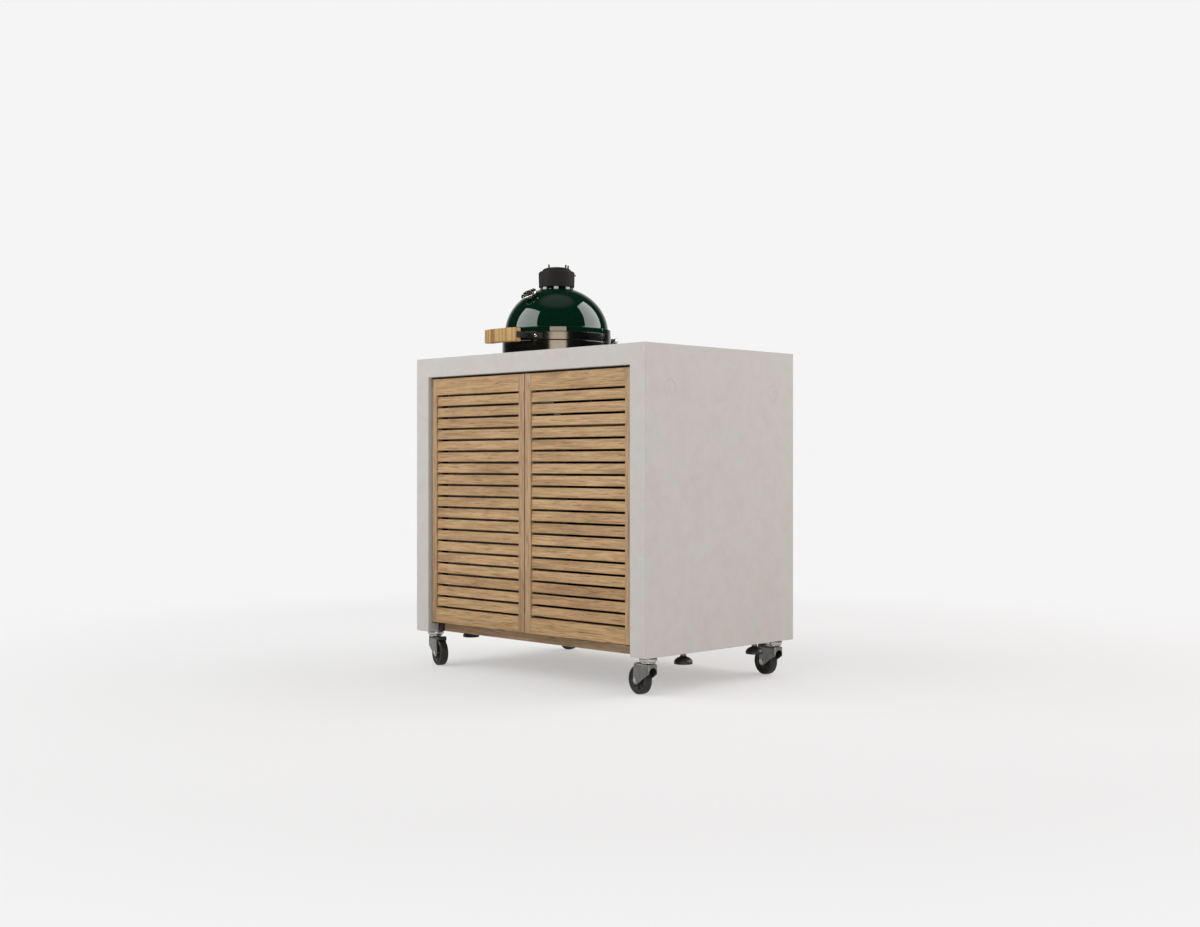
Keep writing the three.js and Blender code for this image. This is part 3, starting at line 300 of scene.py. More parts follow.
def rounded(bm, edge, steps=2, angle=35.0):
    """A solid with all its sharp arrises rounded."""
    piece = as_object("round", bm)
    modifier = piece.modifiers.new("round", "BEVEL")
    modifier.width = edge
    modifier.segments = steps
    modifier.limit_method = "ANGLE"
    modifier.angle_limit = math.radians(angle)
    modifier.use_clamp_overlap = True
    return with_modifiers(piece)


def copied(node, edge, steps=2):
    """A node's own shape in millimetres, as a clean solid with rounded arrises."""
    bm = bmesh.new()
    bm.from_mesh(frame["nodes"][node].data)
    bm.transform(Matrix.Scale(1.0 / MM, 4))
    bmesh.ops.remove_doubles(bm, verts=bm.verts, dist=0.001)
    bmesh.ops.dissolve_limit(
        bm, angle_limit=math.radians(0.5), verts=bm.verts, edges=bm.edges,
    )
    if edge > 0.0:
        bm = rounded(bm, edge, steps)
    return bm


def finished(name, bm, body, material, slot, replaced=(), angle=35.0, inside=None):
    """Makes a solid a piece of the model: metres, shading, material and body. The slot is not used.

    inside is a material and a test of a face's middle, for the faces that get it.
    """
    if inside:
        for face in bm.faces:
            if inside[1](face.calc_center_median()):
                face.material_index = 1
    bm.transform(Matrix.Scale(MM, 4))
    bmesh.ops.remove_doubles(bm, verts=bm.verts, dist=1e-7)
    bmesh.ops.recalc_face_normals(bm, faces=bm.faces)
    piece = as_object(name, bm)
    mesh = piece.data
    mesh.polygons.foreach_set("use_smooth", [True] * len(mesh.polygons))
    mesh.set_sharp_from_angle(angle=math.radians(angle))
    mesh.materials.append(material)
    if inside:
        mesh.materials.append(inside[0])
    modifier = piece.modifiers.new("shading", "WEIGHTED_NORMAL")
    modifier.keep_sharp = True
    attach(piece, body)
    if replaced:
        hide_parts(*replaced)


def assembled(rows, where=Matrix()):
    """Finishes rows of name, solid, body, material, slot and replaced nodes, all moved alike."""
    for name, solid, *rest in rows:
        finished(name, moved(solid, where), *rest)


def softened(rows, steps=2):
    """Nodes that keep their own shape, with rounded arrises."""
    for node, name, body, material, slot, edge in rows:
        finished(name, copied(node, edge, steps), body, material, slot, (node,))


# ----------------------------------------------------------------- materials

STRIPS_PER_METRE = 225.0
DARK_STRIP_AT = -0.204
DARK_STRIP_SHARPNESS = 50.0


def rgb(red, green, blue):
    """A colour given as it shows on the screen, from 0 to 255."""
    def linear(value):
        share = value / 255.0
        return share / 12.92 if share <= 0.04045 else ((share + 0.055) / 1.055) ** 2.4
    return (linear(red), linear(green), linear(blue), 1.0)


def add_node(tree, kind, settings=None, **values):
    """A shader node. A socket is given by its name, or by i and its number."""
    node = tree.nodes.new(kind)
    for key, value in (settings or {}).items():
        setattr(node, key, value)
    for key, value in values.items():
        socket = node.inputs[int(key[1:]) if key[0] == "i" and key[1:].isdigit() else key]
        if isinstance(value, bpy.types.NodeSocket):
            tree.links.new(value, socket)
        else:
            socket.default_value = value
    return node


def maths(tree, operation, first, second=0.5):
    return add_node(tree, "ShaderNodeMath", {"operation": operation}, i0=first, i1=second).outputs[0]


def eased(tree, value, start, end, low, high):
    """Runs smoothly from low to high while a value goes from start to end."""
    limits = {"From Min": start, "From Max": end, "To Min": low, "To Max": high}
    smooth = {"interpolation_type": "SMOOTHSTEP"}
    return add_node(tree, "ShaderNodeMapRange", smooth, Value=value, **limits).outputs["Result"]


class Surface:
    """A material under construction: its nodes and its Principled shader."""

    def __init__(self, name, **numbers):
        self.material = bpy.data.materials.new(name)
        self.material.use_nodes = True
        self.tree = self.material.node_tree
        self.shader = self.tree.nodes["Principled BSDF"]
        for socket, value in numbers.items():
            self.shader.inputs[socket.replace("_", " ")].default_value = value

    def node(self, kind, settings=None, **values):
        return add_node(self.tree, kind, settings, **values)

    def maths(self, operation, first, second=0.5):
        return maths(self.tree, operation, first, second)

    def place(self, scale=(1.0, 1.0, 1.0), offset=None):
        """Object coordinates, scaled, with an optional shift."""
        source = self.node("ShaderNodeTexCoord").outputs["Object"]
        if offset is not None:
            add = {"operation": "ADD"}
            source = self.node("ShaderNodeVectorMath", add, i0=source, i1=offset).outputs["Vector"]
        return self.node("ShaderNodeMapping", Vector=source, Scale=scale).outputs["Vector"]

    def noise(self, place, scale, detail=4.0, roughness=0.55, distortion=0.0):
        return self.node(
            "ShaderNodeTexNoise", Vector=place, Scale=scale, Detail=detail,
            Roughness=roughness, Distortion=distortion,
        ).outputs["Fac"]

    def ramp(self, factor, stops):
        """A colour ramp. A stop is a position and a screen colour or a grey from 0 to 1."""
        node = self.node("ShaderNodeValToRGB", Fac=factor)
        band = node.color_ramp
        while len(band.elements) < len(stops):
            band.elements.new(0.5)
        for element, (position, tone) in zip(band.elements, stops):
            element.position = position
            element.color = rgb(*tone) if isinstance(tone, tuple) else (tone, tone, tone, 1.0)
        return node.outputs["Color"]

    def blend(self, factor, low, high, start=0.3, end=0.7):
        return self.ramp(factor, [(start, low), (end, high)])

    def mix(self, factor, first, second, blend="MIX"):
        settings = {"data_type": "RGBA", "blend_type": blend}
        return self.node("ShaderNodeMix", settings, i0=factor, i6=first, i7=second).outputs[2]

    def shaded(self, colour, share, tone):
        """A colour multiplied by a tone, by a share of its effect."""
        return self.mix(share, colour, tone, "MULTIPLY")

    def bump(self, height, strength, distance, previous=None):
        values = {"Strength": strength, "Distance": distance, "Height": height}
        if previous is not None:
            values["Normal"] = previous
        return self.node("ShaderNodeBump", **values).outputs["Normal"]

    def link(self, output, socket):
        self.tree.links.new(output, self.shader.inputs[socket])

    def dressed(self, colour, roughness=None, normal=None):
        """Links what the shader shows and gives the finished material."""
        for output, socket in ((colour, "Base Color"), (roughness, "Roughness"), (normal, "Normal")):
            if output is not None:
                self.link(output, socket)
        return self.material


def concrete():
    """Cast concrete: pinkish and greenish clouds, trowel mottling, fine sand, small open pores."""
    s = Surface("cast_concrete", Roughness=0.82, Specular_IOR_Level=0.3)
    place = s.place()
    clouds = s.noise(place, 8.5, 4.0, 0.55, 0.4)
    mottle = s.noise(place, 24.0, 6.0, 0.62, 0.6)
    sand = s.noise(place, 420.0, 3.0, 0.6)
    base = s.ramp(clouds, [(0.36, (204, 195, 191)), (0.5, (204, 199, 195)), (0.64, (201, 200, 194))])
    tone = s.ramp(mottle, [(0.3, (195, 189, 184)), (0.52, (205, 200, 195)), (0.72, (211, 207, 203))])
    colour = s.shaded(s.mix(0.42, base, tone), 0.4, s.blend(sand, 0.9, 1.0, 0.3, 0.62))
    pores = s.node("ShaderNodeTexVoronoi", Vector=place, Scale=150.0).outputs["Distance"]
    holes = s.blend(pores, 0.0, 1.0, 0.05, 0.12)
    spread = s.blend(s.noise(place, 26.0, 2.0, 0.5), 1.0, 0.0, 0.56, 0.66)
    open_pores = s.mix(1.0, holes, spread, "LIGHTEN")
    normal = s.bump(open_pores, 0.3, 0.0006)
    normal = s.bump(sand, 0.12, 0.0004, normal)
    normal = s.bump(mottle, 0.10, 0.0015, normal)
    return s.dressed(s.shaded(colour, 0.3, open_pores), s.blend(mottle, 0.72, 0.9), normal)


def wood(name, along, light, middle, dark, tone_spread=0.5, growth=9.0, blush=0.5):
    """Oiled hardwood with its grain along one axis: rings, blush, fibres and open pores.

    A board's own attribute shifts the grain and the tone.
    """
    s = Surface(name, Roughness=0.55, Specular_IOR_Level=0.3)
    board = s.node("ShaderNodeAttribute", {"attribute_name": "board"}).outputs["Fac"]
    shifts = [s.maths("MULTIPLY", board, reach) for reach in (3.7, 5.3, 7.9)]
    offset = s.node("ShaderNodeCombineXYZ", **dict(zip("XYZ", shifts))).outputs["Vector"]

    def stretched(lengthways, across):
        scale = [across, across, across]
        scale["XYZ".index(along)] = lengthways
        return s.place(tuple(scale), offset)

    rings = s.noise(stretched(0.9, growth), 1.6, 4.0, 0.55, 1.4)
    figure = s.ramp(
        rings, [(0.28, dark), (0.42, middle), (0.52, light), (0.62, middle), (0.78, light)],
    )
    patches = s.noise(stretched(14.0, 60.0), 1.0, 2.0, 0.5, 0.8)
    hue = s.ramp(patches, [(0.36, (255, 236, 226)), (0.5, (255, 252, 246)), (0.64, (244, 250, 222))])
    fibres = s.noise(stretched(7.0, 170.0), 1.5, 5.0, 0.62)
    fibre = s.ramp(fibres, [(0.3, (168, 150, 128)), (0.5, (232, 226, 218)), (0.62, (255, 255, 255))])
    pores = s.noise(stretched(16.0, 420.0), 1.2, 2.0, 0.5)
    pore = s.blend(pores, (104, 78, 54), (255, 255, 255), 0.32, 0.42)
    tone = s.ramp(board, [(0.0, (240, 234, 226)), (0.5, (255, 250, 243)), (1.0, (228, 215, 200))])
    colour = s.shaded(s.shaded(figure, blush, hue), 0.62, fibre)
    colour = s.shaded(s.shaded(colour, 0.6, pore), tone_spread, tone)
    normal = s.bump(fibres, 0.18, 0.0005, s.bump(pores, 0.25, 0.0003))
    return s.dressed(colour, s.blend(fibres, 0.7, 0.54), normal)


def bamboo():
    """Laminated bamboo: upright strips of slightly different tone, glue lines, one darker group."""
    s = Surface("laminated_bamboo", Roughness=0.45, Specular_IOR_Level=0.2)
    where = s.node("ShaderNodeSeparateXYZ", Vector=s.place()).outputs["X"]
    count = s.maths("MULTIPLY", where, STRIPS_PER_METRE)
    strip = s.maths("FLOOR", count)
    part = s.maths("FRACT", count)
    chance = s.node("ShaderNodeTexWhiteNoise", {"noise_dimensions": "1D"}, W=strip).outputs["Value"]
    tone = s.ramp(chance, [(0.0, (170, 134, 82)), (0.5, (196, 159, 103)), (1.0, (216, 180, 122))])
    colour = s.shaded(tone, 0.6, s.blend(part, (160, 126, 84), (255, 255, 255), 0.0, 0.16))
    away = s.maths("ABSOLUTE", s.maths("SUBTRACT", where, DARK_STRIP_AT))
    share = s.maths("MULTIPLY", away, DARK_STRIP_SHARPNESS)
    colour = s.shaded(colour, 1.0, s.blend(share, (205, 190, 160), (255, 255, 255), 0.35, 0.6))
    fibres = s.noise(s.place((260.0, 260.0, 14.0)), 6.0, 4.0, 0.6)
    colour = s.shaded(colour, 0.5, s.blend(fibres, (205, 180, 140), 1.0, 0.3, 0.6))
    return s.dressed(colour, s.blend(fibres, 0.55, 0.4), s.bump(fibres, 0.12, 0.0003))


def glaze():
    """Deep green kiln glaze, slightly uneven, under a glossy coat."""
    s = Surface("green_glaze", Roughness=0.5, Specular_IOR_Level=0.0, Coat_Weight=0.7, Coat_Roughness=0.035)
    place = s.place()
    flow = s.noise(place, 5.0, 3.0, 0.5)
    speck = s.noise(place, 240.0, 2.0, 0.5)
    dots = s.blend(speck, (150, 160, 150), 1.0, 0.34, 0.42)
    colour = s.shaded(s.blend(flow, (1, 31, 19), (3, 38, 24)), 0.25, dots)
    ripple = s.bump(s.noise(place, 34.0, 2.0, 0.45), 0.06, 0.0008)
    s.link(ripple, "Coat Normal")
    return s.dressed(colour, s.blend(flow, 0.46, 0.55), ripple)


def skin(name, low, high, haze, gloss=None, grain=None, relief=None, start=0.3, end=0.7, **numbers):
    """A surface with slight changes of tone and gloss, and a fine relief."""
    s = Surface(name, **numbers)
    place = s.place()
    tone = s.noise(place, *haze)
    roughness = s.blend(tone, *gloss) if gloss else None
    normal = s.bump(s.noise(place, *grain), *relief) if grain else None
    return s.dressed(s.blend(tone, low, high, start, end), roughness, normal)


def powder_coat(name, low, high, roughness, metallic=0.0, grain=900.0, level=0.45):
    """Powder-coated steel: orange-peel skin."""
    return skin(
        name, low, high, (14.0, 3.0, 0.5), (roughness, roughness + 0.1), (grain, 2.0, 0.5), (0.10, 0.0002),
        Metallic=metallic, Specular_IOR_Level=level,
    )


def rubber():
    """Black tyre rubber with a dusty tread."""
    return skin(
        "black_rubber", (27, 27, 28), (44, 43, 42), (60.0, 4.0, 0.6), (0.5, 0.72), (520.0, 3.0, 0.6),
        (0.15, 0.0002), 0.35, 0.75, Specular_IOR_Level=0.4,
    )


def plastic(name, tone, roughness):
    """Moulded black plastic with a fine spark texture."""
    return skin(
        name, (tone - 4, tone - 4, tone - 3), (tone + 5, tone + 5, tone + 6), (40.0, 3.0, 0.5),
        (roughness, roughness + 0.12), (1100.0, 2.0, 0.5), (0.14, 0.00015), Specular_IOR_Level=0.45,
    )


def dial_black():
    """Matt black enamel of the dial."""
    return skin(
        "dial_enamel", (20, 20, 21), (30, 30, 31), (90.0, 3.0, 0.5), (0.42, 0.55), Roughness=0.5,
    )


def dial_print(name, *tone):
    """Printed marks and pointer of the dial, a little worn."""
    worn = tuple(value * 0.86 for value in tone)
    return skin(name, worn, tone, (500.0, 2.0, 0.5), end=0.5, Roughness=0.55)


def clear_glass():
    """Clear cover glass of the thermometer."""
    return skin(
        "clear_glass", (246, 248, 248), (255, 255, 255), (80.0, 3.0, 0.5), Roughness=0.02, IOR=1.2,
        Transmission_Weight=1.0,
    )


def cast_iron():
    """Seasoned cast iron: sandy skin with a brownish grey tone."""
    s = Surface("cast_iron", Roughness=0.72, Specular_IOR_Level=0.1)
    place = s.place()
    sand = s.noise(place, 620.0, 4.0, 0.65)
    patches = s.noise(place, 22.0, 4.0, 0.6)
    colour = s.blend(patches, (36, 35, 33), (48, 46, 44))
    colour = s.shaded(colour, 0.5, s.blend(sand, (150, 146, 140), 1.0, 0.3, 0.6))
    normal = s.bump(patches, 0.12, 0.0008, s.bump(sand, 0.32, 0.0004))
    return s.dressed(colour, s.blend(patches, 0.64, 0.8), normal)


def zinc(name, low, high, roughness):
    """Plated steel: crystalline patches and fine rolling lines."""
    s = Surface(name, Metallic=1.0)
    place = s.place()
    crystals = s.node("ShaderNodeTexVoronoi", Vector=place, Scale=210.0).outputs["Color"]
    grey = s.node("ShaderNodeRGBToBW", Color=crystals).outputs["Val"]
    haze = s.noise(place, 46.0, 4.0, 0.6)
    colour = s.mix(0.5, s.blend(grey, low, high, 0.1, 0.9), s.blend(haze, low, high))
    lines = s.noise(s.place((40.0, 40.0, 900.0)), 1.0, 3.0, 0.6)
    return s.dressed(colour, s.blend(haze, roughness, roughness + 0.14), s.bump(lines, 0.05, 0.0002))


def stainless():
    """Brushed stainless steel."""
    s = Surface("brushed_stainless", Metallic=1.0)
    lines = s.noise(s.place((30.0, 30.0, 1600.0)), 1.0, 4.0, 0.65)
    haze = s.noise(s.place(), 30.0, 3.0, 0.5)
    colour = s.blend(haze, (196, 196, 194), (214, 214, 212))
    return s.dressed(colour, s.blend(lines, 0.22, 0.36), s.bump(lines, 0.06, 0.0002))


def clay():
    """Unglazed refractory clay: warm beige and grainy."""
    s = Surface("fire_clay", Roughness=0.92)
    place = s.place()
    patches = s.noise(place, 18.0, 5.0, 0.6)
    grain = s.noise(place, 380.0, 4.0, 0.65)
    colour = s.blend(patches, (176, 156, 130), (201, 183, 158))
    colour = s.shaded(colour, 0.4, s.blend(grain, (170, 150, 125), 1.0, 0.3, 0.6))
    return s.dressed(colour, s.blend(patches, 0.86, 0.96), s.bump(grain, 0.3, 0.0005))


def felt(name, low, high):
    """Woven heat felt."""
    s = Surface(name, Roughness=0.95, Sheen_Weight=0.3)
    place = s.place()
    fuzz = s.noise(place, 900.0, 4.0, 0.7)
    weave = s.node(
        "ShaderNodeTexWave", {"bands_direction": "DIAGONAL"}, Vector=place, Scale=160.0, Distortion=2.0,
    ).outputs["Fac"]
    normal = s.bump(fuzz, 0.35, 0.0005, s.bump(weave, 0.3, 0.0005))
    return s.dressed(s.blend(fuzz, low, high), s.blend(fuzz, 0.9, 1.0), normal)


CONCRETE = concrete()
OAK_X = wood("oak_along_x", "X", (208, 175, 133), (192, 159, 117), (168, 135, 95))
PALE_OAK = wood("pale_oak", "X", (190, 166, 138), (174, 151, 124), (150, 127, 100))
OAK_Z = wood("oak_along_z", "Z", (199, 170, 138), (188, 159, 127), (168, 139, 107))
BAMBOO = bamboo()
GLAZE = glaze()
BLACK_STEEL = powder_coat("black_steel", (4, 4, 4), (8, 8, 7), 0.10, 0.0, 700.0, 0.5)
MATT_BLACK = powder_coat("matt_black", (8, 8, 8), (13, 13, 12), 0.42, 0.0, 900.0, 0.3)
HINGE_STEEL = powder_coat("hinge_steel", (70, 70, 69), (92, 92, 90), 0.3, 0.6, 700.0, 0.5)
DARK_STEEL = powder_coat("dark_steel", (36, 30, 27), (45, 38, 34), 0.5)
IRON = cast_iron()
ZINC = zinc("zinc_plate", (108, 108, 108), (142, 142, 140), 0.3)
BRIGHT_ZINC = zinc("bright_zinc", (158, 158, 156), (204, 204, 202), 0.08)
STAINLESS = stainless()
CHROME = zinc("polished_chrome", (176, 176, 174), (206, 206, 204), 0.05)
RUBBER = rubber()
PLASTIC = plastic("black_plastic", 26, 0.4)
HUB_PLASTIC = plastic("hub_plastic", 38, 0.46)
CLAY = clay()
FELT = felt("heat_felt", (58, 57, 55), (104, 102, 98))
# Pale felt-textured pads whose pale colour is a painted highlight: it stands for the glints of light on the
# glazed neck under the cap.
NECK_HIGHLIGHT_FELT = felt("painted_neck_highlight", (206, 210, 202), (228, 231, 224))
BOARD = wood("dark_board", "Z", (70, 67, 64), (60, 57, 55), (46, 44, 42), 0.2, 6.0, 0.1)
DIAL = dial_black()
DIAL_MARKS = dial_print("dial_marks", 226, 222, 210)
DIAL_RED = dial_print("dial_pointer", 176, 44, 30)
GLASS = clear_glass()


# ------------------------------------------------------------- concrete shell

ARRIS = 1.6
CUTOUT_RADIUS = 170.0
CUTOUT_LOW = 800.0
CUTOUT_HIGH = 950.0
CASTER_X = 431.0
CASTER_Y = 257.0
CASTER_HOLE = 6.4
CASTER_HOLE_TOP = 146.0
FOOT_X = 430.0
FRONT_FOOT_Y = -121.5
REAR_FOOT_Y = 172.6
FOOT_HOLE = 4.9
FOOT_HOLE_TOP = 209.0
HOLES_LOW = 90.0
PLUG_RADIUS = 20.6
PLUG_GROOVE = 0.5
PLUG_DEPTH = 0.9
PLUG_Y = 211.0
PLUG_Z = 788.0


def concrete_shell():
    """The cast shell is made whole, then parted at its two mitres."""
    outline = [
        (-HALF_WIDTH, PANEL_FOOT), (-PANEL_INNER, PANEL_FOOT), (-PANEL_INNER, SLAB_UNDERSIDE),
        (PANEL_INNER, SLAB_UNDERSIDE), (PANEL_INNER, PANEL_FOOT), (HALF_WIDTH, PANEL_FOOT),
        (HALF_WIDTH, TABLE_TOP), (-HALF_WIDTH, TABLE_TOP),
    ]
    shell = moved(prism(outline, -HALF_DEPTH, HALF_DEPTH), ALONG_Y)
    cutout = rod(CUTOUT_RADIUS, CUTOUT_LOW, CUTOUT_HIGH, 128)
    cuts = [moved(cutout, placed(KAMADO.x, KAMADO.y))]
    grooves = []
    profile = [
        (PLUG_RADIUS, -PLUG_DEPTH), (PLUG_RADIUS + PLUG_GROOVE, -PLUG_DEPTH),
        (PLUG_RADIUS + PLUG_GROOVE, PLUG_DEPTH), (PLUG_RADIUS, PLUG_DEPTH),
    ]
    for side in (LEFT, RIGHT):
        for x, y, radius, top in (
            (CASTER_X, -CASTER_Y, CASTER_HOLE, CASTER_HOLE_TOP),
            (CASTER_X, CASTER_Y, CASTER_HOLE, CASTER_HOLE_TOP),
            (FOOT_X, FRONT_FOOT_Y, FOOT_HOLE, FOOT_HOLE_TOP),
            (FOOT_X, REAR_FOOT_Y, FOOT_HOLE, FOOT_HOLE_TOP),
        ):
            cuts.append(moved(rod(radius, HOLES_LOW, top), placed(side * x, y)))
        for y in (-PLUG_Y, PLUG_Y):
            ring = moved(revolved(profile, 48, True), turned(90, "Y"))
            grooves.append(moved(ring, placed(side * HALF_WIDTH, y, PLUG_Z)))
    shell = rounded(combined(shell, joined(*cuts)), ARRIS, 3, 45.0)
    shell = combined(shell, joined(*grooves))
    for name, node, keep in (
        ("worktop", "countertop", (1, 1)),
        ("left_panel", "side_panel_left", (-1, 0)),
        ("right_panel", "side_panel_right", (0, -1)),
    ):
        part = shell.copy()
        for side, wanted in zip((LEFT, RIGHT), keep):
            if wanted == 0:
                continue
            result = bmesh.ops.bisect_plane(
                part, geom=list(part.verts) + list(part.edges) + list(part.faces),
                plane_co=(side * PANEL_INNER, 0, SLAB_UNDERSIDE),
                plane_no=(-side, 0, 1), clear_inner=wanted > 0, clear_outer=wanted < 0,
            )
            rim = [g for g in result["geom_cut"] if isinstance(g, bmesh.types.BMEdge)]
            bmesh.ops.edgeloop_fill(part, edges=rim)
        finished(name, part, ROOT, CONCRETE, "concrete", (node,), 50.0)
    shell.free()


def cabinet_inside():
    softened([
        ("back_panel", "rear_board", ROOT, BOARD, "panel_grey", 1.2),
        ("bottom_shelf", "bottom_board", ROOT, PALE_OAK, "oak", 2.0),
        ("kamado_shelf", "kamado_board", ROOT, OAK_X, "oak", 2.0),
        ("frame_left", "left_ladder", ROOT, DARK_STEEL, "dark_steel", 1.0),
        ("frame_right", "right_ladder", ROOT, DARK_STEEL, "dark_steel", 1.0),
        ("cradle_rail_front", "front_cradle_tube", ROOT, DARK_STEEL, "dark_steel", 1.8),
        ("cradle_rail_rear", "rear_cradle_tube", ROOT, DARK_STEEL, "dark_steel", 1.8),
        ("top_rail_front", "front_top_tube", ROOT, DARK_STEEL, "dark_steel", 1.8),
        ("top_rail_rear", "rear_top_tube", ROOT, DARK_STEEL, "dark_steel", 1.8),
    ], 3)


# --------------------------------------------------------------------- doors

STILE = 23.0
DOOR_FRONT = -292.5
DOOR_BACK = -270.5
DOOR_EDGE = 406.0
DOOR_LOCK = 1.5
DOOR_BOTTOM = 129.0
DOOR_TOP = 839.0
TOP_RAIL = 46.7
BOTTOM_RAIL = 42.7
BOARD_EDGE = 0.7
SLATS = 19
SLAT_GAP = 5.5
SLAT_THICKNESS = 6.5
SLAT_TILT = math.radians(6.0)
SLAT_INSET = 2.0
SLAT_ARRIS = 1.5
SLAT_HOUSING = 4.0


def with_board(bm, value):
    """Marks a board with its own share of tone and grain."""
    layer = bm.verts.layers.float.get("board") or bm.verts.layers.float.new("board")
    for vertex in bm.verts:
        vertex[layer] = value
    return bm


def slat_outline(width, centre_y, centre_z):
    """A slat seen from the side, its low edge outward."""
    high = width / 2.0
    deep = SLAT_THICKNESS / 2.0
    outline = filleted([
        (-high, -deep, SLAT_ARRIS), (-high, deep, SLAT_ARRIS),
        (high, deep, SLAT_ARRIS), (high, -deep, SLAT_ARRIS),
    ], 3)
    sine = math.sin(SLAT_TILT)
    cosine = math.cos(SLAT_TILT)
    return [
        (centre_y + up * sine + out * cosine, centre_z + up * cosine - out * sine) for up, out in outline
    ]


def louvre_slats(side, chance):
    opening = DOOR_TOP - DOOR_BOTTOM - TOP_RAIL - BOTTOM_RAIL
    rise = (opening - (SLATS + 1) * SLAT_GAP) / SLATS
    width = (rise - SLAT_THICKNESS * math.sin(SLAT_TILT)) / math.cos(SLAT_TILT)
    depth = width * math.sin(SLAT_TILT) + SLAT_THICKNESS * math.cos(SLAT_TILT)
    centre_y = DOOR_FRONT + SLAT_INSET + depth / 2.0
    start = DOOR_LOCK + STILE - SLAT_HOUSING
    end = DOOR_EDGE - STILE + SLAT_HOUSING
    low, high = sorted((side * start, side * end))
    boards = []
    for k in range(SLATS):
        centre_z = DOOR_BOTTOM + BOTTOM_RAIL + SLAT_GAP + rise / 2.0 + k * (rise + SLAT_GAP)
        slat = moved(prism(slat_outline(width, centre_y, centre_z), low, high), ALONG_X)
        boards.append(with_board(slat, chance.random()))
    return joined(*boards)


def door(side, name, seed):
    """A louvred door: its slats, the stile at the middle, then the nodes of its other boards."""
    chance = random.Random(seed)
    louvres = (name + "_louvres",)
    finished(name + "_slats", louvre_slats(side, chance), name, OAK_X, "oak", louvres)
    low, high = sorted((side * DOOR_LOCK, side * (DOOR_LOCK + STILE)))
    stile = block((low, DOOR_FRONT, DOOR_BOTTOM), (high, DOOR_BACK, DOOR_TOP), BOARD_EDGE)
    stile = with_board(stile, 0.3 + 0.3 * chance.random())
    finished(name + "_lock_stile", stile, name, OAK_Z, "oak", louvres)
    for node, material, tone in (
        ("_hinge_stile", OAK_Z, 0.3), ("_top_rail", OAK_X, 0.68), ("_bottom_rail", OAK_X, 0.3),
    ):
        piece = with_board(copied(name + node, BOARD_EDGE, 3), tone + 0.3 * chance.random())
        finished(name + node + "_board", piece, name, material, "oak", (name + node,))


def door_pins():
    softened(
        (side + "_pivot_pin", side + "_steel_pin", side, ZINC, "zinc", 0.4)
        for side in ("left_door", "right_door")
    )


# ------------------------------------------------------------------- casters

TRAIL = 34.0
WHEEL = 37.5
TYRE_HALF = 12.0
FORK_HALF = 15.5
SHEET = 2.2
CROWN = 3.2
LEAD = 21.0
LEAD_DROP = 24.0
CHEEK_TRAIL = 43.0
FORK_END = 12.0
FORK_BORE = 6.3
HEAD_TOP = 99.7
FLANGE_BOTTOM = 97.3
RACE_BOTTOM = 87.3
LOWER_BOTTOM = 81.8
CROWN_TOP = 81.5
RIVET_TOP = 78.0
STEM_TOP = 142.0
MOUTH_TOP = 73.0
MOUTH_LIP = 0.6
BOLT_HEAD = 7.0
AXLE = 3.9
HUB_RIBS = 8
PEDAL_PIVOT = (38.0, 79.2)
PEDAL_ROOT = 3.0
PEDAL_LENGTH = 15.5
PEDAL_HEIGHT = 5.7
PEDAL_HALF = 12.5


def caster_head():
    """Threaded stem, washer, pressed ball race and king pin."""
    profile = [
        (0.0, RIVET_TOP - 2.0), (9.0, RIVET_TOP - 2.0, 1.4), (9.0, RIVET_TOP),
        (6.0, RIVET_TOP), (6.0, LOWER_BOTTOM), (17.0, LOWER_BOTTOM, 1.0),
        (20.0, LOWER_BOTTOM + 2.6, 1.6), (20.0, RACE_BOTTOM - 0.6, 0.6), (18.6, RACE_BOTTOM + 0.4),
        (22.0, RACE_BOTTOM + 0.8, 0.8), (23.5, RACE_BOTTOM + 3.4, 2.0), (23.5, FLANGE_BOTTOM - 2.0, 1.8),
        (21.0, FLANGE_BOTTOM - 0.2, 0.6), (17.0, FLANGE_BOTTOM - 0.2), (17.0, FLANGE_BOTTOM + 0.2),
        (21.0, FLANGE_BOTTOM + 0.2, 0.7), (21.0, HEAD_TOP, 0.7), (6.0, HEAD_TOP),
        (6.0, STEM_TOP, 1.0), (0.0, STEM_TOP),
    ]
    return spun(profile, 56, 4, False)


def fork_side():
    """Side outline of the fork, seen from its left."""
    low = CROWN_TOP - LEAD_DROP
    reach = math.hypot(TRAIL + LEAD, low - WHEEL)
    direction = math.atan2(low - WHEEL, -LEAD - TRAIL)
    start = math.degrees(direction + math.acos(FORK_END / reach))
    points = [(-LEAD, CROWN_TOP), (-LEAD, low)]
    points += arc(FORK_END, start, 360.0, 14, (TRAIL, WHEEL))
    return points + [(CHEEK_TRAIL, CROWN_TOP - 18.0), (CHEEK_TRAIL - 3.0, CROWN_TOP)]


def fork_section(half, bottom, top, shoulder, reach):
    """A bar along X with rounded shoulders."""
    section = filleted([(-half, bottom), (half, bottom), (half, top, shoulder), (-half, top, shoulder)], 6)
    return moved(prism(section, -reach, reach), ALONG_X)


def fork_plan(front, back, half, corner, bottom, top):
    """An upright bar with rounded corners at the front."""
    plan = filleted([(front, -half, corner), (back, -half), (back, half), (front, half, corner)], 6)
    return prism(plan, bottom, top)


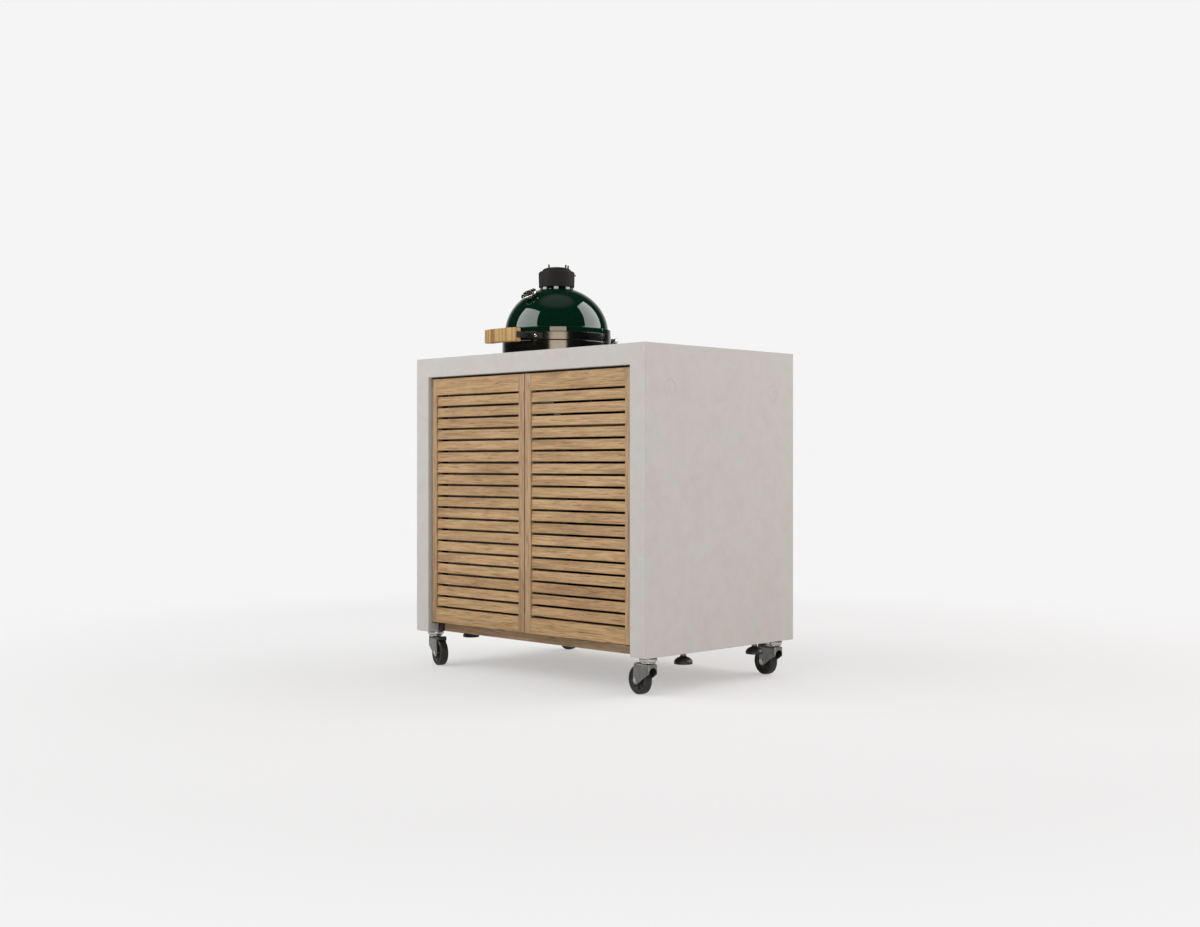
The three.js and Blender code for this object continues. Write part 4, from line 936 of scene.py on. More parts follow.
def caster_fork():
    """Pressed fork: rounded shoulders, two cheeks, an arched mouth at the front."""
    outer = moved(prism(fork_side(), -FORK_HALF, FORK_HALF), ALONG_Y)
    outer = combined(outer, fork_section(FORK_HALF, 0.0, CROWN_TOP, 5.0, 60.0), "INTERSECT")
    outer = combined(outer, fork_plan(-LEAD, 60.0, FORK_HALF, 6.0, 0.0, 100.0), "INTERSECT")
    inner_half = FORK_HALF - SHEET
    room = fork_section(inner_half, -10.0, CROWN_TOP - CROWN, 3.0, 70.0)
    room = combined(room, fork_plan(SHEET - LEAD, 90.0, inner_half, 3.8, -20.0, 120.0), "INTERSECT")
    fork = combined(outer, room)
    half = inner_half - MOUTH_LIP
    spring = CROWN_TOP - LEAD_DROP
    arch = ellipse(half, MOUTH_TOP - spring, 0.0, 180.0, 16, (0.0, spring))
    fork = combined(fork, moved(prism([(-half, -10.0), (half, -10.0)] + arch, -60, 0), ALONG_X))
    return rounded(combined(fork, rod(FORK_BORE, 60, 100)), 0.35, 2, 50.0)


def axle_bolt():
    """Hexagon bolt heads with washers on the axle."""
    parts = []
    for side in (LEFT, RIGHT):
        washer = spun([(3.0, 0.0), (8.4, 0.0, 0.3), (8.4, 0.9, 0.4), (3.0, 0.9)], 32, 2)
        head = prism(hexagon(BOLT_HEAD, 0.5), 0.9, 3.0, 0.5, 2)
        turn = turned(90 if side < 0 else -90, "X")
        parts.append(moved(joined(washer, head), placed(TRAIL, side * FORK_HALF, WHEEL) @ turn))
    return joined(*parts, on_axle(rod(AXLE, -FORK_HALF, FORK_HALF)))


def on_axle(bm):
    return moved(bm, placed(TRAIL, 0, WHEEL) @ turned(90, "X"))


def caster_tyre():
    profile = [
        (30.5, -TYRE_HALF + 0.6, 0.5), (34.5, -TYRE_HALF, 1.0), (37.0, -TYRE_HALF + 2.4, 2.2),
        (WHEEL, -4.0, 6.0), (WHEEL, 4.0, 6.0), (37.0, TYRE_HALF - 2.4, 2.2),
        (34.5, TYRE_HALF, 1.0), (30.5, TYRE_HALF - 0.6, 0.5), (29.5, 8.0), (29.5, -8.0),
    ]
    return on_axle(spun(profile, 72, 4))


def caster_hub():
    """Moulded wheel centre: rim, dished web with ribs, hub."""
    half = FORK_HALF - SHEET - GAP
    profile = [
        (4.3, -half), (9.0, -half, 0.8), (10.0, -6.5, 1.0), (13.0, -4.6, 1.5), (25.0, -4.6, 1.5),
        (27.6, -9.0, 0.8), (30.2, -9.6, 0.6), (30.2, 9.6, 0.6), (27.6, 9.0, 0.8),
        (25.0, 4.6, 1.5), (13.0, 4.6, 1.5), (10.0, 6.5, 1.0), (9.0, half, 0.8), (4.3, half),
    ]
    parts = [spun(profile, 72, 3)]
    for k in range(HUB_RIBS):
        for side in (LEFT, RIGHT):
            low, high = sorted((side * 4.0, side * 7.4))
            rib = block((9.5, -1.1, low), (27.0, 1.1, high), 0.4, 1)
            parts.append(moved(rib, turned(360.0 / HUB_RIBS * k)))
    return on_axle(joined(*parts))


def brake_pedal():
    """Moulded pedal, thicker towards its tip."""
    outline = arc(PEDAL_ROOT, 90, 270, 8, PEDAL_PIVOT)
    for u, v in ((0.4, -0.56), (0.88, -1.02), (1.0, -0.6), (1.0, 0.5), (0.94, 1.0), (0.16, 0.96)):
        outline.append((PEDAL_PIVOT[0] + u * PEDAL_LENGTH, PEDAL_PIVOT[1] + v * PEDAL_HEIGHT, 0.7))
    return moved(prism(filleted(outline, 3), -PEDAL_HALF, PEDAL_HALF, 1.0, 3), ALONG_Y)


def caster(corner, x, y, degrees, braked):
    name = corner + "_caster"
    fork = corner + "_fork"
    wheel = corner + "_wheel"
    rows = [
        (corner + "_swivel_head", caster_head(), ROOT, BRIGHT_ZINC, "zinc", (name + "_head",)),
        (corner + "_pressed_fork", caster_fork(), fork, ZINC, "zinc", (name + "_fork",), 40.0),
        (corner + "_axle_bolt", axle_bolt(), fork, BRIGHT_ZINC, "zinc", (name + "_fork",)),
        (corner + "_tyre", caster_tyre(), wheel, RUBBER, "black_rubber", (name + "_wheel",)),
        (corner + "_wheel_centre", caster_hub(), wheel, HUB_PLASTIC, "black_rubber", (name + "_wheel",)),
    ]
    if braked:
        pedal = corner + "_pedal"
        node = name + "_brake_pedal"
        rows.append((pedal + "_pad", brake_pedal(), pedal, PLASTIC, "black_plastic", (node,)))
    assembled(rows, placed(x, y) @ turned(degrees))


# -------------------------------------------------------------- levelling feet

PAD_LOW = 68.4
PAD_TOP = 90.4
STEM = 4.5
THREAD_PITCH = 1.5
THREAD_FOOT = 3.9
THREAD_TOP = 198.0
THREAD_END = 199.5
LOCK_NUT = 8.2


def foot_pad():
    profile = [
        (0.0, PAD_LOW + 0.6), (20.0, PAD_LOW + 0.6), (21.0, PAD_LOW), (24.5, PAD_LOW, 1.0),
        (24.5, PAD_LOW + 7.0, 2.0), (21.0, PAD_LOW + 12.5, 4.0), (15.0, PAD_LOW + 17.0, 5.0),
        (8.6, PAD_TOP - 2.6, 2.0), (8.0, PAD_TOP, 0.6), (0.0, PAD_TOP),
    ]
    return spun(profile, 56, 4, False)


def foot_stem():
    profile = [(0.0, PAD_TOP - 1.0), (STEM, PAD_TOP - 1.0)]
    height = PAD_TOP + 0.2
    while height < THREAD_TOP:
        profile += [(STEM, height + 0.45), (THREAD_FOOT, height + 0.9), (STEM, height + 1.35)]
        height += THREAD_PITCH
    return revolved(profile + [(STEM - 0.1, THREAD_END), (0.0, THREAD_END)], 24)


def levelling_foot(name, x, y):
    """Domed pad and lock nut on a threaded stem."""
    nut = prism(hexagon(LOCK_NUT, 0.6), PAD_TOP + 0.1, PAD_TOP + 3.2, 0.6, 2)
    assembled([
        (name + "_pad", foot_pad(), name, PLASTIC, "black_plastic", (name,)),
        (name + "_stem", foot_stem(), name, ZINC, "zinc", (name,)),
        (name + "_lock_nut", nut, name, ZINC, "zinc", (name,)),
    ], placed(x, y))


# -------------------------------------------------------------------- kamado
# Radii from the grill's axis and heights from the bowl's rim

BODY = 153.0
NECK_STEP = 157.5
RIM_INNER = 136.0
LIP = 160.0
BAND_SEAT = 157.8
BAND_OUTER = 161.0
BOWL_DEPTH = 204.0
BOWL_CENTRE = -40.0
BOWL_HALF_HEIGHT = 190.0
WALL = 18.0
DOME_CENTRE = 30.0
DOME_HALF_HEIGHT = 137.0
SHOULDER = 46.0
NECK = 40.0
NECK_BORE = 34.0
NECK_BASE = DOME_CENTRE + DOME_HALF_HEIGHT * math.sqrt(1.0 - (SHOULDER / BODY) ** 2)
NECK_TOP = NECK_BASE + 12.0
LID_BOTTOM = 3.6
LIP_BOTTOM = 23.7
LIP_TOP = 38.5
BAND_BOTTOM = -23.7
BOWL_LIP_BOTTOM = -34.7
BAND_STEPS = 40
RIPPLES = 5
RIPPLE = 0.09
BOSS_LOW = -192.0
BOSS_HIGH = -148.0
BOSS_HALF = 50.0
BOSS_FRONT = -126.88
PORT_LOW = -183.0
PORT_HIGH = -157.0
PORT_HALF = 38.0
PORT_FRONT = -140.0


def dome():
    """Lid shell: rim, rounded lip, elliptical dome and flared neck, hollow inside."""
    start = math.degrees(math.asin((LIP_TOP + 2.5 - DOME_CENTRE) / DOME_HALF_HEIGHT))
    end = math.degrees(math.acos((SHOULDER + 10.0) / BODY))
    profile = [
        (RIM_INNER, LID_BOTTOM, 1.0), (NECK_STEP, LID_BOTTOM, 0.8), (NECK_STEP, LIP_BOTTOM),
        (LIP - 0.06, LIP_BOTTOM, 0.8), (LIP, LIP_BOTTOM + 7.0, 4.0), (LIP - 0.1, LIP_TOP - 0.8, 1.0),
        (BODY + 0.8, LIP_TOP, 1.6),
    ]
    profile += ellipse(BODY, DOME_HALF_HEIGHT, start, end, 36, (0.0, DOME_CENTRE))
    profile += [
        (NECK + 2.2, NECK_BASE - 2.9, 2.0), (NECK + 1.5, NECK_BASE + 1.0, 3.0),
        (NECK, NECK_TOP - 4.0, 3.0), (NECK, NECK_TOP, 1.2), (NECK_BORE, NECK_TOP, 1.2),
    ]
    inner_width = BODY - WALL
    stop = math.degrees(math.acos(NECK_BORE / inner_width))
    profile += ellipse(inner_width, DOME_HALF_HEIGHT - WALL, stop, 0.0, 24, (0.0, DOME_CENTRE))
    return spun(profile, 144, 5)


def lining_radius(share):
    """Radius of the middle of the wall, at a share of its half height."""
    return (BODY - WALL / 2.0) * math.sqrt(max(1.0 - share ** 2, 0.0))


def in_dome(middle):
    """Whether a face belongs to the unglazed lining of the lid."""
    height = middle.z - KAMADO.z
    radius = math.hypot(middle.x - KAMADO.x, middle.y - KAMADO.y)
    if height < LID_BOTTOM + 0.5:
        return True
    share = (height - DOME_CENTRE) / (DOME_HALF_HEIGHT - WALL / 2.0)
    limit = max(lining_radius(max(share, 0.0)), NECK_BORE + 0.5)
    return radius < limit and radius < RIM_INNER + 2.0


def in_bowl(middle):
    """Whether a face belongs to the unglazed lining of the bowl."""
    height = middle.z - KAMADO.z
    radius = math.hypot(middle.x - KAMADO.x, middle.y - KAMADO.y)
    if height < -BOWL_DEPTH + 0.5 or height > -0.5:
        return True
    share = (height - BOWL_CENTRE) / (BOWL_HALF_HEIGHT - WALL / 2.0)
    return radius < lining_radius(min(share, 0.0))


def bowl():
    """Bowl shell: foot, curved wall, lip under the band, hollow inside, draft port with its boss."""
    foot = BODY * math.sqrt(1.0 - ((BOWL_DEPTH + BOWL_CENTRE) / BOWL_HALF_HEIGHT) ** 2)
    start = -math.degrees(math.acos(foot / BODY))
    profile = [(0.0, -BOWL_DEPTH), (foot, -BOWL_DEPTH, 1.5)]
    profile += ellipse(BODY, BOWL_HALF_HEIGHT, start, 0.0, 28, (0.0, BOWL_CENTRE))[1:]
    profile += [
        (BAND_SEAT + 0.6, BOWL_LIP_BOTTOM + 0.6, 3.0), (BAND_SEAT + 0.6, BAND_BOTTOM - 0.6),
        (NECK_STEP, BAND_BOTTOM - 0.3), (NECK_STEP, 0.0, 1.0), (RIM_INNER, 0.0, 1.0),
    ]
    floor_height = -BOWL_DEPTH + WALL
    inner_width = BODY - WALL
    inner_height = BOWL_HALF_HEIGHT - WALL
    floor_angle = -math.degrees(math.asin((BOWL_CENTRE - floor_height) / inner_height))
    profile += ellipse(inner_width, inner_height, 0.0, floor_angle, 24, (0.0, BOWL_CENTRE))
    shell = spun(profile + [(0.0, floor_height)], 120, 4, False)
    inner_floor = inner_width * math.cos(math.radians(floor_angle))
    boss = block((-BOSS_HALF, BOSS_FRONT, BOSS_LOW), (BOSS_HALF, -inner_floor, BOSS_HIGH), 3.0)
    port = block((-PORT_HALF, PORT_FRONT, PORT_LOW), (PORT_HALF, -inner_floor / 2, PORT_HIGH), 2.0)
    return combined(combined(shell, boss, "UNION"), port)


def bowl_band():
    """Steel band of the bowl: a flat face with faint rolling ripples and a turned lower edge."""
    low = BOWL_LIP_BOTTOM + 0.4
    high = -0.6
    inner = BAND_SEAT + 1.0
    points = [(BAND_SEAT, high), (BAND_OUTER - 0.4, high, 0.5)]
    for k in range(BAND_STEPS + 1):
        height = high - 1.0 - (high - low - 3.0) * k / BAND_STEPS
        wave = 0.5 - 0.5 * math.cos(2.0 * math.pi * RIPPLES * k / BAND_STEPS)
        points.append((BAND_OUTER + RIPPLE * wave, height))
    points += [(BAND_OUTER - 0.6, low, 0.5), (inner, low)]
    points += [(inner, BAND_BOTTOM - 0.3), (inner, BAND_BOTTOM), (BAND_SEAT, BAND_BOTTOM)]
    return spun(points, 144, 3)


def lid_band():
    """Steel band of the lid, a flat face with rolled edges."""
    low = 0.6
    high = 23.4
    return spun([
        (BAND_SEAT, low), (BAND_OUTER - 0.2, low, 0.9), (BAND_OUTER, (low + high) / 2.0),
        (BAND_OUTER - 0.2, high, 0.9), (BAND_SEAT, high),
    ], 144, 4)


def gasket():
    return spun([(136.3, 0.3, 0.8), (150.3, 0.3, 0.8), (150.3, 3.3, 0.8), (136.3, 3.3, 0.8)], 96, 3)


# Vent cap and rotor
CAP_FOOT = NECK_BASE + 4.0
CAP_TOP = CAP_FOOT + 48.5
CAP_PLATE = 4.5
ROTOR_BOTTOM = CAP_TOP + GAP
ROTOR = 42.0
ROTOR_RISE = 9.0
ROTOR_DOME = 38.5
VENTS = 3
VENT = 10.0
VENT_CIRCLE = 26.0
VENT_CUT = (180.0, 240.0)
NUB = 2.3
NUB_HEIGHT = 14.5
NUB_CIRCLE = 34.0
NUB_ANGLES = (9.0, 45.0, 275.0)
PADS = 8
PAD_OUTER = 49.5
PAD_INNER = 43.2
PAD_HALF = 7.5


def polar(radius, degrees):
    angle = math.radians(degrees)
    return placed(radius * math.cos(angle), radius * math.sin(angle))


def vent_holes(first):
    turns = [first + 360 / VENTS * k for k in range(VENTS)]
    return joined(*(moved(rod(VENT, *VENT_CUT, 32), polar(VENT_CIRCLE, turn)) for turn in turns))


def vent_cap():
    """Tapered cast skirt with a rolled shoulder, holes under the rotor."""
    ledge = NECK_TOP + GAP
    profile = [
        (40.6, CAP_FOOT + 1.2, 0.6), (52.2, CAP_FOOT + 1.2, 1.4), (52.6, CAP_FOOT + 6.0, 1.0),
        (53.2, CAP_FOOT + 27.0, 4.0), (53.4, CAP_TOP - 3.5, 2.0), (49.0, CAP_TOP, 1.5), (6.3, CAP_TOP),
        (6.3, CAP_TOP - CAP_PLATE), (47.0, CAP_TOP - CAP_PLATE, 2.0), (47.0, ledge + 3.5, 2.0),
        (36.0, ledge + 3.5, 1.0), (36.0, ledge), (40.6, ledge),
    ]
    return combined(spun(profile, 96, 4), vent_holes(0))


def neck_highlight_pads():
    """Pale pads round the neck just under the cap's skirt, which stands on them: a painted highlight,
    standing in for the glints of light on the glazed neck.
    """
    outline = arc(PAD_OUTER, -PAD_HALF, PAD_HALF, 5) + arc(PAD_INNER, PAD_HALF, -PAD_HALF, 5)
    pads = [prism(outline, NECK_BASE - 3.1, CAP_FOOT + 1.15, 0.5, 2) for _ in range(PADS)]
    return joined(*(moved(pad, turned(360.0 / PADS * k)) for k, pad in enumerate(pads)))


def vent_rotor():
    """Domed daisy wheel with three holes and its finger nubs."""
    top = ROTOR_BOTTOM + 4.0
    profile = [
        (0.0, CAP_TOP - 9.0), (6.0, CAP_TOP - 9.0, 0.6), (6.0, ROTOR_BOTTOM), (ROTOR, ROTOR_BOTTOM, 0.8),
        (ROTOR, top, 1.6),
    ]
    first = math.degrees(math.acos(ROTOR_DOME / ROTOR))
    profile += ellipse(ROTOR, ROTOR_RISE, first, 88.0, 14, (0.0, top))
    parts = [combined(spun(profile + [(0.0, top + ROTOR_RISE)], 96, 4, False), vent_holes(60))]
    for degrees in NUB_ANGLES:
        low = top - 2.0
        high = top + NUB_HEIGHT
        nub = spun([(0.0, low), (NUB, low), (NUB, high, 1.4), (0.0, high)], 20, 4, False)
        parts.append(moved(nub, polar(NUB_CIRCLE, degrees)))
    return joined(*parts)


def set_screw():
    """Small screw in the cap's skirt."""
    profile = [(0.0, 0.0), (1.6, 0.0), (1.6, 3.0), (2.8, 3.0, 0.3), (2.8, 5.2, 0.8), (0.0, 5.2)]
    return moved(spun(profile, 20, 3, False), turned(40.0) @ placed(51.8, 0, 201.5) @ turned(90, "Y"))


# Thermometer: its own axis stands on the dome
GAUGE_TURN = 39.87
GAUGE_SEAT = Vector((0.0, -104.34, 130.2))
DIAL_RADIUS = 21.7
GLASS_RADIUS = 21.85
TICKS = 40
TICKS_OUTER = 19.6


def gauge_case():
    """Probe, collar and dished case with a rolled bezel."""
    profile = [
        (0.0, -52.0), (3.2, -52.0, 2.0), (3.2, 0.3), (9.0, 0.3, 0.6), (9.0, 6.0),
        (20.5, 6.0, 1.5), (23.2, 8.4, 1.8), (23.4, 10.8, 0.5), (24.5, 11.4, 0.8), (24.5, 13.6, 1.4),
        (23.2, 15.0, 0.9), (21.9, 14.6, 0.5), (21.9, 12.6), (0.0, 12.6),
    ]
    return spun(profile, 80, 4, False)


def gauge_marks():
    """Tick marks round the dial, every fifth one longer."""
    marks = []
    for k in range(TICKS + 1):
        inner, half = (15.6, 0.42) if k % 5 == 0 else (17.4, 0.22)
        tick = block((-half, inner, 13.0), (half, TICKS_OUTER, 13.22))
        marks.append(moved(tick, turned(135.0 - 270.0 * k / TICKS)))
    return joined(*marks)


def gauge_pointer():
    outline = [(-0.5, -5.0, 0.3), (0.5, -5.0, 0.3), (0.9, 0.0), (0.15, 16.0), (-0.15, 16.0), (-0.9, 0.0)]
    needle = moved(prism(filleted(outline, 2), 13.4, 13.75), turned(112.0))
    return joined(needle, spun([(0.0, 13.2), (2.0, 13.2), (2.0, 14.0, 0.4), (0.0, 14.0)], 24, 3, False))


def gauge(where):
    node = ("thermometer",)
    assembled([
        ("gauge_case", gauge_case(), "lid", CHROME, "stainless", node),
        ("gauge_dial", rod(DIAL_RADIUS, 12.5, 13.05, 64), "lid", DIAL, "black_plastic", node),
        ("gauge_marks", gauge_marks(), "lid", DIAL_MARKS, "stainless", node),
        ("gauge_pointer", gauge_pointer(), "lid", DIAL_RED, "stainless", node),
        ("gauge_glass", rod(GLASS_RADIUS, 14.1, 14.6, 64), "lid", GLASS, "stainless", node),
    ], where @ placed(*GAUGE_SEAT) @ turned(GAUGE_TURN, "X"))


# Handle and hinge
GRIP_INNER = 206.0
GRIP_OUTER = 233.0
GRIP_HALF = 17.0
GRIP_LOW = -8.0
GRIP_HIGH = 31.0
GRIP_ROUND = 5.0
GRIP_STEPS = 26
STRAP = 3.4
STRAP_LOW = 3.0
STRAP_HIGH = 20.0
STRAP_EDGE = 0.7
ARM_END = 230.0
FOOT_END = 32.0
BOLT_ANGLE = 25.25
HINGE_PIN_END = (62.2, 188.0, 14.0)


def grip():
    """Curved block of laminated bamboo with well rounded arrises."""
    outline = arc(GRIP_OUTER, -90 - GRIP_HALF, -90 + GRIP_HALF, GRIP_STEPS)
    outline += arc(GRIP_INNER, -90 + GRIP_HALF, -90 - GRIP_HALF, GRIP_STEPS)
    for index in (0, GRIP_STEPS, GRIP_STEPS + 1, 2 * GRIP_STEPS + 1):
        outline[index] = (*outline[index], 6.0)
    return prism(filleted(outline, 5), GRIP_LOW, GRIP_HIGH, 5.5, 5)


def strap(path):
    return prism(ribbon(path, STRAP), STRAP_LOW, STRAP_HIGH, STRAP_EDGE, 2)


def bracket_arm(side):
    """A foot that follows the band, bent outward into an arm along the grip's end."""
    inset = math.degrees(math.asin(GRIP_ROUND / GRIP_OUTER))
    across = GRIP_ROUND + GAP + STRAP / 2.0
    foot = BAND_OUTER + GAP + STRAP / 2.0
    bend = GRIP_HALF - inset + math.degrees(math.asin(across / foot))
    turn = math.radians(-90 + side * (GRIP_HALF - inset))
    along = Vector((math.cos(turn), math.sin(turn)))
    outward = Vector((-math.sin(turn), math.cos(turn))) * side
    path = arc(foot, -90 + side * FOOT_END, -90 + side * bend, 8)
    path[-1] = (*path[-1], 3.5)
    path.append(tuple(along * ARM_END + outward * across))
    return strap(filleted(path, 5, False))


def bracket():
    """Two bent arms that hold the grip's ends, and the bar behind it that joins them."""
    reach = GRIP_HALF + 0.6
    bar = strap(arc(GRIP_INNER - GAP - STRAP / 2.0, -90 - reach, -90 + reach, 30))
    return joined(bar, bracket_arm(LEFT), bracket_arm(RIGHT))


def bolt_heads(profile, places):
    return joined(*[moved(spun(profile, 32, 4, False), place) for place in places])


def bracket_bolts():
    """Low domed bolt heads on the bracket's feet."""
    seat = placed(BAND_OUTER + GAP + STRAP, 0, (STRAP_LOW + STRAP_HIGH) / 2.0) @ turned(90, "Y")
    profile = [(0.0, 0.0), (5.0, 0.0, 0.2), (5.0, 0.8, 0.4), (4.0, 2.2, 1.6), (0.0, 3.0)]
    return bolt_heads(profile, [turned(-90 + side * BOLT_ANGLE) @ seat for side in (LEFT, RIGHT)])


def hinge_bolts():
    """Domed heads on the ends of the hinge pin."""
    x, y, z = HINGE_PIN_END
    profile = [(0.0, 0.0), (6.4, 0.0, 0.3), (6.4, 1.4, 1.0), (3.0, 3.0, 2.0), (0.0, 3.2)]
    places = [placed(side * x, y, z) @ turned(90 * side, "Y") for side in (LEFT, RIGHT)]
    return bolt_heads(profile, places)


def kamado():
    here = placed(*KAMADO)
    assembled([
        ("dome_shell", dome(), "lid", GLAZE, "green_glaze", ("lid_dome",), 40.0, (CLAY, in_dome)),
        ("bowl_shell", bowl(), ROOT, GLAZE, "green_glaze", ("kamado_bowl",), 40.0, (CLAY, in_bowl)),
        ("ribbed_band", bowl_band(), ROOT, BLACK_STEEL, "black_steel", ("bowl_band",)),
        ("crowned_band", lid_band(), "lid", BLACK_STEEL, "black_steel", ("lid_band",)),
        ("felt_ring", gasket(), "lid", FELT, "felt", ("lid_gasket",)),
        ("cap_skirt", vent_cap(), "lid", IRON, "cast_iron", ("vent_cap",)),
        # These pads are a painted highlight: their pale colour stands for glints of light on the glazed
        # neck.
        ("cap_felt_pads", neck_highlight_pads(), "lid", NECK_HIGHLIGHT_FELT, "felt"),
        ("cap_rotor", vent_rotor(), "vent_rotor", IRON, "cast_iron", ("vent_rotor",)),
        ("cap_set_screw", set_screw(), "lid", BLACK_STEEL, "black_steel"),
    ], here)
    gauge(here)
    assembled([
        ("bamboo_grip", grip(), "lid", BAMBOO, "bamboo", ("handle_grip",)),
        ("bent_strap", bracket(), "lid", MATT_BLACK, "black_steel", ("handle_bracket",)),
        ("strap_bolts", bracket_bolts(), "lid", CHROME, "black_steel"),
    ], here)
    softened([
        ("hinge_bowl_bracket", "bowl_hinge_plate", ROOT, HINGE_STEEL, "black_steel", 0.7),
        ("hinge_lid_bracket", "lid_hinge_plate", "lid", HINGE_STEEL, "black_steel", 0.5),
    ])
    assembled([("hinge_pin_heads", hinge_bolts(), ROOT, STAINLESS, "stainless")], here)


def fire_parts():
    """Fire clay, grates, draft door and nest."""
    softened([
        ("fire_box", "clay_box", ROOT, CLAY, "fire_clay", 1.5),
        ("fire_ring", "clay_ring", ROOT, CLAY, "fire_clay", 2.0),
        ("charcoal_grate", "iron_grate", ROOT, IRON, "cast_iron", 1.0),
        ("cooking_grid", "steel_grid", ROOT, STAINLESS, "stainless", 0.0),
        ("draft_frame", "draft_channel", ROOT, STAINLESS, "stainless", 0.4),
        ("draft_door", "draft_slide", "draft_door", STAINLESS, "stainless", 0.5),
        ("kamado_nest", "nest_ring", ROOT, BLACK_STEEL, "black_steel", 0.8),
    ])


# -------------------------------------------------------------- camera and light

CAMERA_PLACE = (3.0271, -3.0271, 0.5929)
LENS = 44.58
SENSOR = 36.0
LAMP_DISTANCE = 5.0
SHINE_DISTANCE = 0.94 * LAMP_DISTANCE
LIT_PLACE = Vector((-0.18, 0.0, 1.0))
BACKGROUND = rgb(245, 245, 245)
BACKDROP_SIDE = (-0.7071, 0.7071, 0.0)
ROOM_LEVEL = 0.62
DIM_SIDE = 0.045
OVERHEAD = 0.55
FLOOR_GLOW = 0.45
FLOOR_RADIUS = 40000.0
WHITE = (1.0, 1.0, 1.0)
WARM = (1.0, 0.87, 0.85)
GREENISH = (0.96, 1.0, 0.97)
AMBER = (1.0, 0.84, 0.65)


def camera():
    data = bpy.data.cameras.new("camera")
    data.lens = LENS
    data.sensor_width = SENSOR
    data.sensor_fit = "HORIZONTAL"
    data.clip_end = 200.0
    view = bpy.data.objects.new("camera", data)
    view.location = CAMERA_PLACE
    view.rotation_euler = (math.radians(90), 0.0, math.radians(45))
    bpy.context.scene.collection.objects.link(view)
    bpy.context.scene.camera = view


def bearing(azimuth, elevation):
    """A direction. Azimuth is from the camera's side, to the picture's right."""
    turn = math.radians(azimuth - 45.0)
    rise = math.radians(elevation)
    return Vector((math.cos(turn) * math.cos(rise), math.sin(turn) * math.cos(rise), math.sin(rise)))


def panel(name, place, turn, width, height, radiance, colour, hidden_from):
    """A rectangular light, hidden from the camera and from one more kind of ray."""
    data = bpy.data.lights.new(name, "AREA")
    data.shape = "RECTANGLE"
    data.size = width
    data.size_y = height
    data.energy = radiance * math.pi * width * height
    data.color = colour
    lamp = bpy.data.objects.new(name, data)
    lamp.location = place
    lamp.rotation_euler = turn
    lamp.visible_camera = False
    setattr(lamp, hidden_from, False)
    bpy.context.scene.collection.objects.link(lamp)


def softbox(name, azimuth, elevation, wide, high, radiance, colour):
    """A soft light facing the kamado, not seen in gloss. Angles are as seen from there."""
    width = 2.0 * LAMP_DISTANCE * math.tan(math.radians(wide / 2.0))
    height = 2.0 * LAMP_DISTANCE * math.tan(math.radians(high / 2.0))
    away = bearing(azimuth, elevation)
    turn = away.to_track_quat("Z", "Y").to_euler()
    place = LIT_PLACE + away * LAMP_DISTANCE
    panel(name, place, turn, width, height, radiance, colour, "visible_glossy")


def shine(name, azimuth, low, high, wide, roll, radiance, colour):
    """An upright panel that shows only as a highlight in gloss, between two elevations."""
    half = math.radians(wide / 2.0)
    bottom = SHINE_DISTANCE * math.tan(math.radians(low)) / math.cos(half)
    top = SHINE_DISTANCE * math.tan(math.radians(high)) / math.cos(half)
    middle = Vector((0.0, 0.0, (top + bottom) / 2.0))
    place = LIT_PLACE + bearing(azimuth, 0.0) * SHINE_DISTANCE + middle
    turn = (turned(azimuth + 45.0) @ turned(90, "X") @ turned(roll)).to_euler()
    width = 2.0 * SHINE_DISTANCE * math.tan(half)
    panel(name, place, turn, width, top - bottom, radiance, colour, "visible_diffuse")


def lights():
    """Two wide boxes light the model; three upright panels are seen only as highlights."""
    softbox("left_box", -80.0, 30.0, 53.0, 32.0, 2.0, WHITE)
    softbox("right_box", 95.0, 34.0, 58.0, 36.0, 1.7, WARM)
    shine("left_shine", -75.0, 14.0, 47.5, 57.0, 9.0, 7.4, GREENISH)
    shine("right_shine", 101.0, 10.5, 54.0, 51.0, -16.0, 7.0, GREENISH)
    shine("front_strip", 4.7, -4.0, 12.0, 34.0, 0.0, 10.0, AMBER)


def world():
    """Even room light. The pale backdrop shows to the camera, through glass and in reflections;
    the room opposite the backdrop is dim in reflections."""
    studio = bpy.data.worlds.new("studio")
    studio.use_nodes = True
    tree = studio.node_tree
    tree.nodes.clear()

    def add(kind, settings=None, **values):
        return add_node(tree, kind, settings, **values)

    def share_of(direction, axis):
        dot = {"operation": "DOT_PRODUCT"}
        return add("ShaderNodeVectorMath", dot, i0=direction, i1=axis).outputs["Value"]

    direction = add("ShaderNodeTexCoord").outputs["Generated"]
    backdrop = eased(tree, share_of(direction, BACKDROP_SIDE), 0.7, 0.98, DIM_SIDE, 1.0)
    overhead = eased(tree, share_of(direction, (0.0, 0.0, 1.0)), 0.86, 0.98, 0.0, OVERHEAD)
    strength = maths(tree, "MAXIMUM", backdrop, overhead)
    room = add("ShaderNodeBackground", Color=(1.0, 1.0, 1.0, 1.0), Strength=ROOM_LEVEL).outputs[0]
    seen = add("ShaderNodeBackground", Color=BACKGROUND, Strength=1.0).outputs[0]
    mirrored = add("ShaderNodeBackground", Color=BACKGROUND, Strength=strength).outputs[0]
    path = add("ShaderNodeLightPath").outputs
    straight = maths(tree, "MAXIMUM", path["Is Camera Ray"], path["Is Transmission Ray"])
    plain = add("ShaderNodeMixShader", i0=straight, i1=room, i2=seen).outputs[0]
    whole = add("ShaderNodeMixShader", i0=path["Is Glossy Ray"], i1=plain, i2=mirrored).outputs[0]
    add("ShaderNodeOutputWorld", Surface=whole)
    bpy.context.scene.world = studio


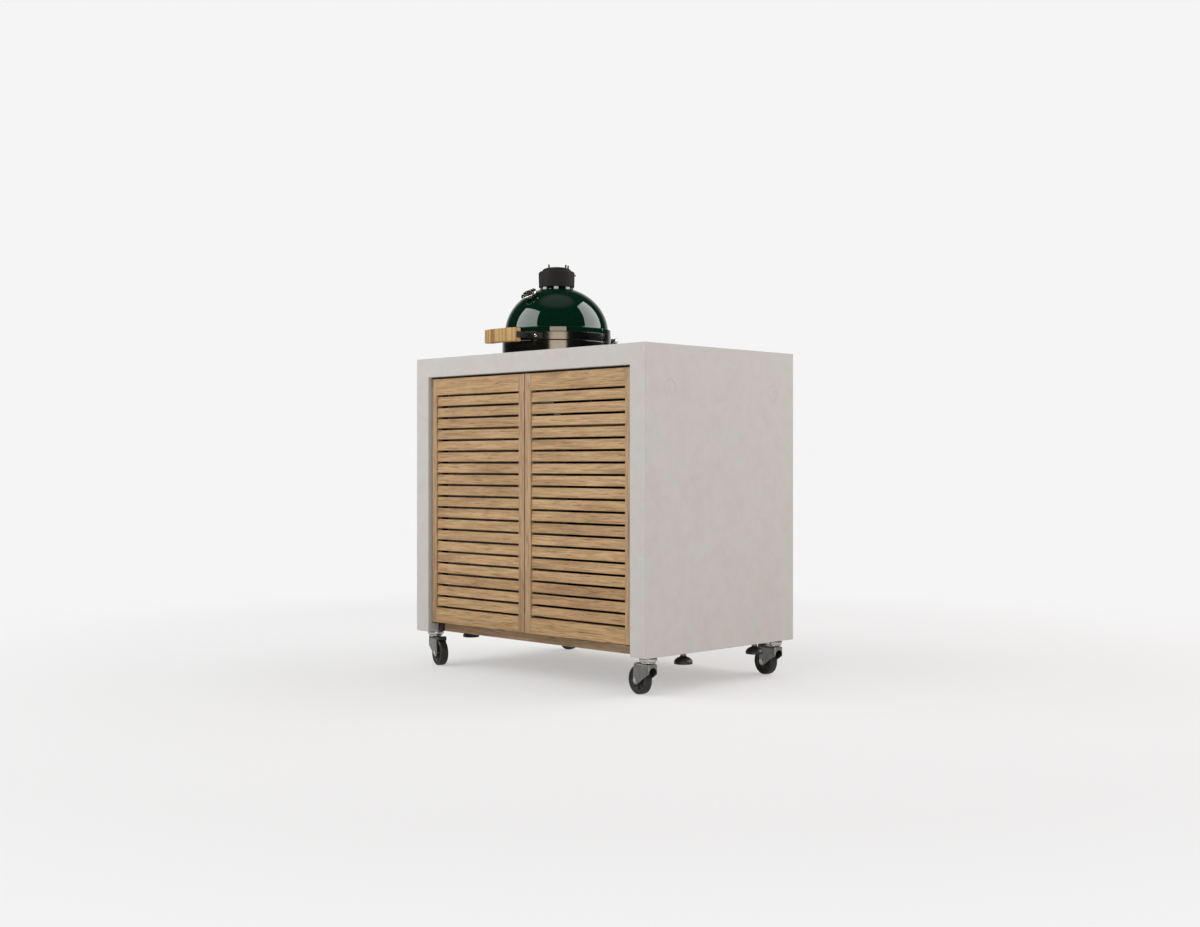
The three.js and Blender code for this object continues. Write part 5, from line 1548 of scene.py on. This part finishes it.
def floor():
    """Pale floor with the table's soft shadow, run into the background all round.

    To the camera, in reflections and through glass a share of it is the background's own tone.
    """
    s = Surface("pale_floor", Roughness=0.9, Specular_IOR_Level=0.0)
    speck = s.noise(s.place(), 300.0, 2.0, 0.5)
    s.dressed(s.blend(speck, (243, 243, 243), (246, 246, 246)))
    glow = s.node("ShaderNodeEmission", Color=BACKGROUND).outputs[0]
    where = s.node("ShaderNodeTexCoord").outputs["Object"]
    away = s.node("ShaderNodeVectorMath", {"operation": "LENGTH"}, i0=where).outputs["Value"]
    fade = eased(s.tree, away, 0.9, 3.0, 0.0, 1.0)
    path = s.node("ShaderNodeLightPath").outputs
    seen = s.maths("MAXIMUM", path["Is Camera Ray"], path["Is Glossy Ray"])
    seen = s.maths("MAXIMUM", seen, path["Is Transmission Ray"])
    share = s.maths("MAXIMUM", fade, s.maths("MULTIPLY", seen, FLOOR_GLOW))
    mix = s.node("ShaderNodeMixShader", i0=share, i1=s.shader.outputs[0], i2=glow).outputs[0]
    output = next(n for n in s.tree.nodes if n.type == "OUTPUT_MATERIAL")
    s.tree.links.new(mix, output.inputs["Surface"])
    plane = moved(rod(FLOOR_RADIUS, -2.0, 0.0, 96), Matrix.Scale(MM, 4))
    piece = as_object("studio_floor", plane)
    piece.data.materials.append(s.material)


camera()
world()
floor()
lights()

concrete_shell()
cabinet_inside()
door(LEFT, "left_door", 11)
door(RIGHT, "right_door", 23)
door_pins()
caster("front_left", -CASTER_X, -CASTER_Y, -17.0, True)
caster("front_right", CASTER_X, -CASTER_Y, 170.0, False)
caster("rear_left", -CASTER_X, CASTER_Y, 0.0, False)
caster("rear_right", CASTER_X, CASTER_Y, 170.0, True)
levelling_foot("front_left_foot", -FOOT_X, FRONT_FOOT_Y)
levelling_foot("front_right_foot", FOOT_X, FRONT_FOOT_Y)
levelling_foot("rear_left_foot", -FOOT_X, REAR_FOOT_Y)
levelling_foot("rear_right_foot", FOOT_X, REAR_FOOT_Y)
kamado()
fire_parts()
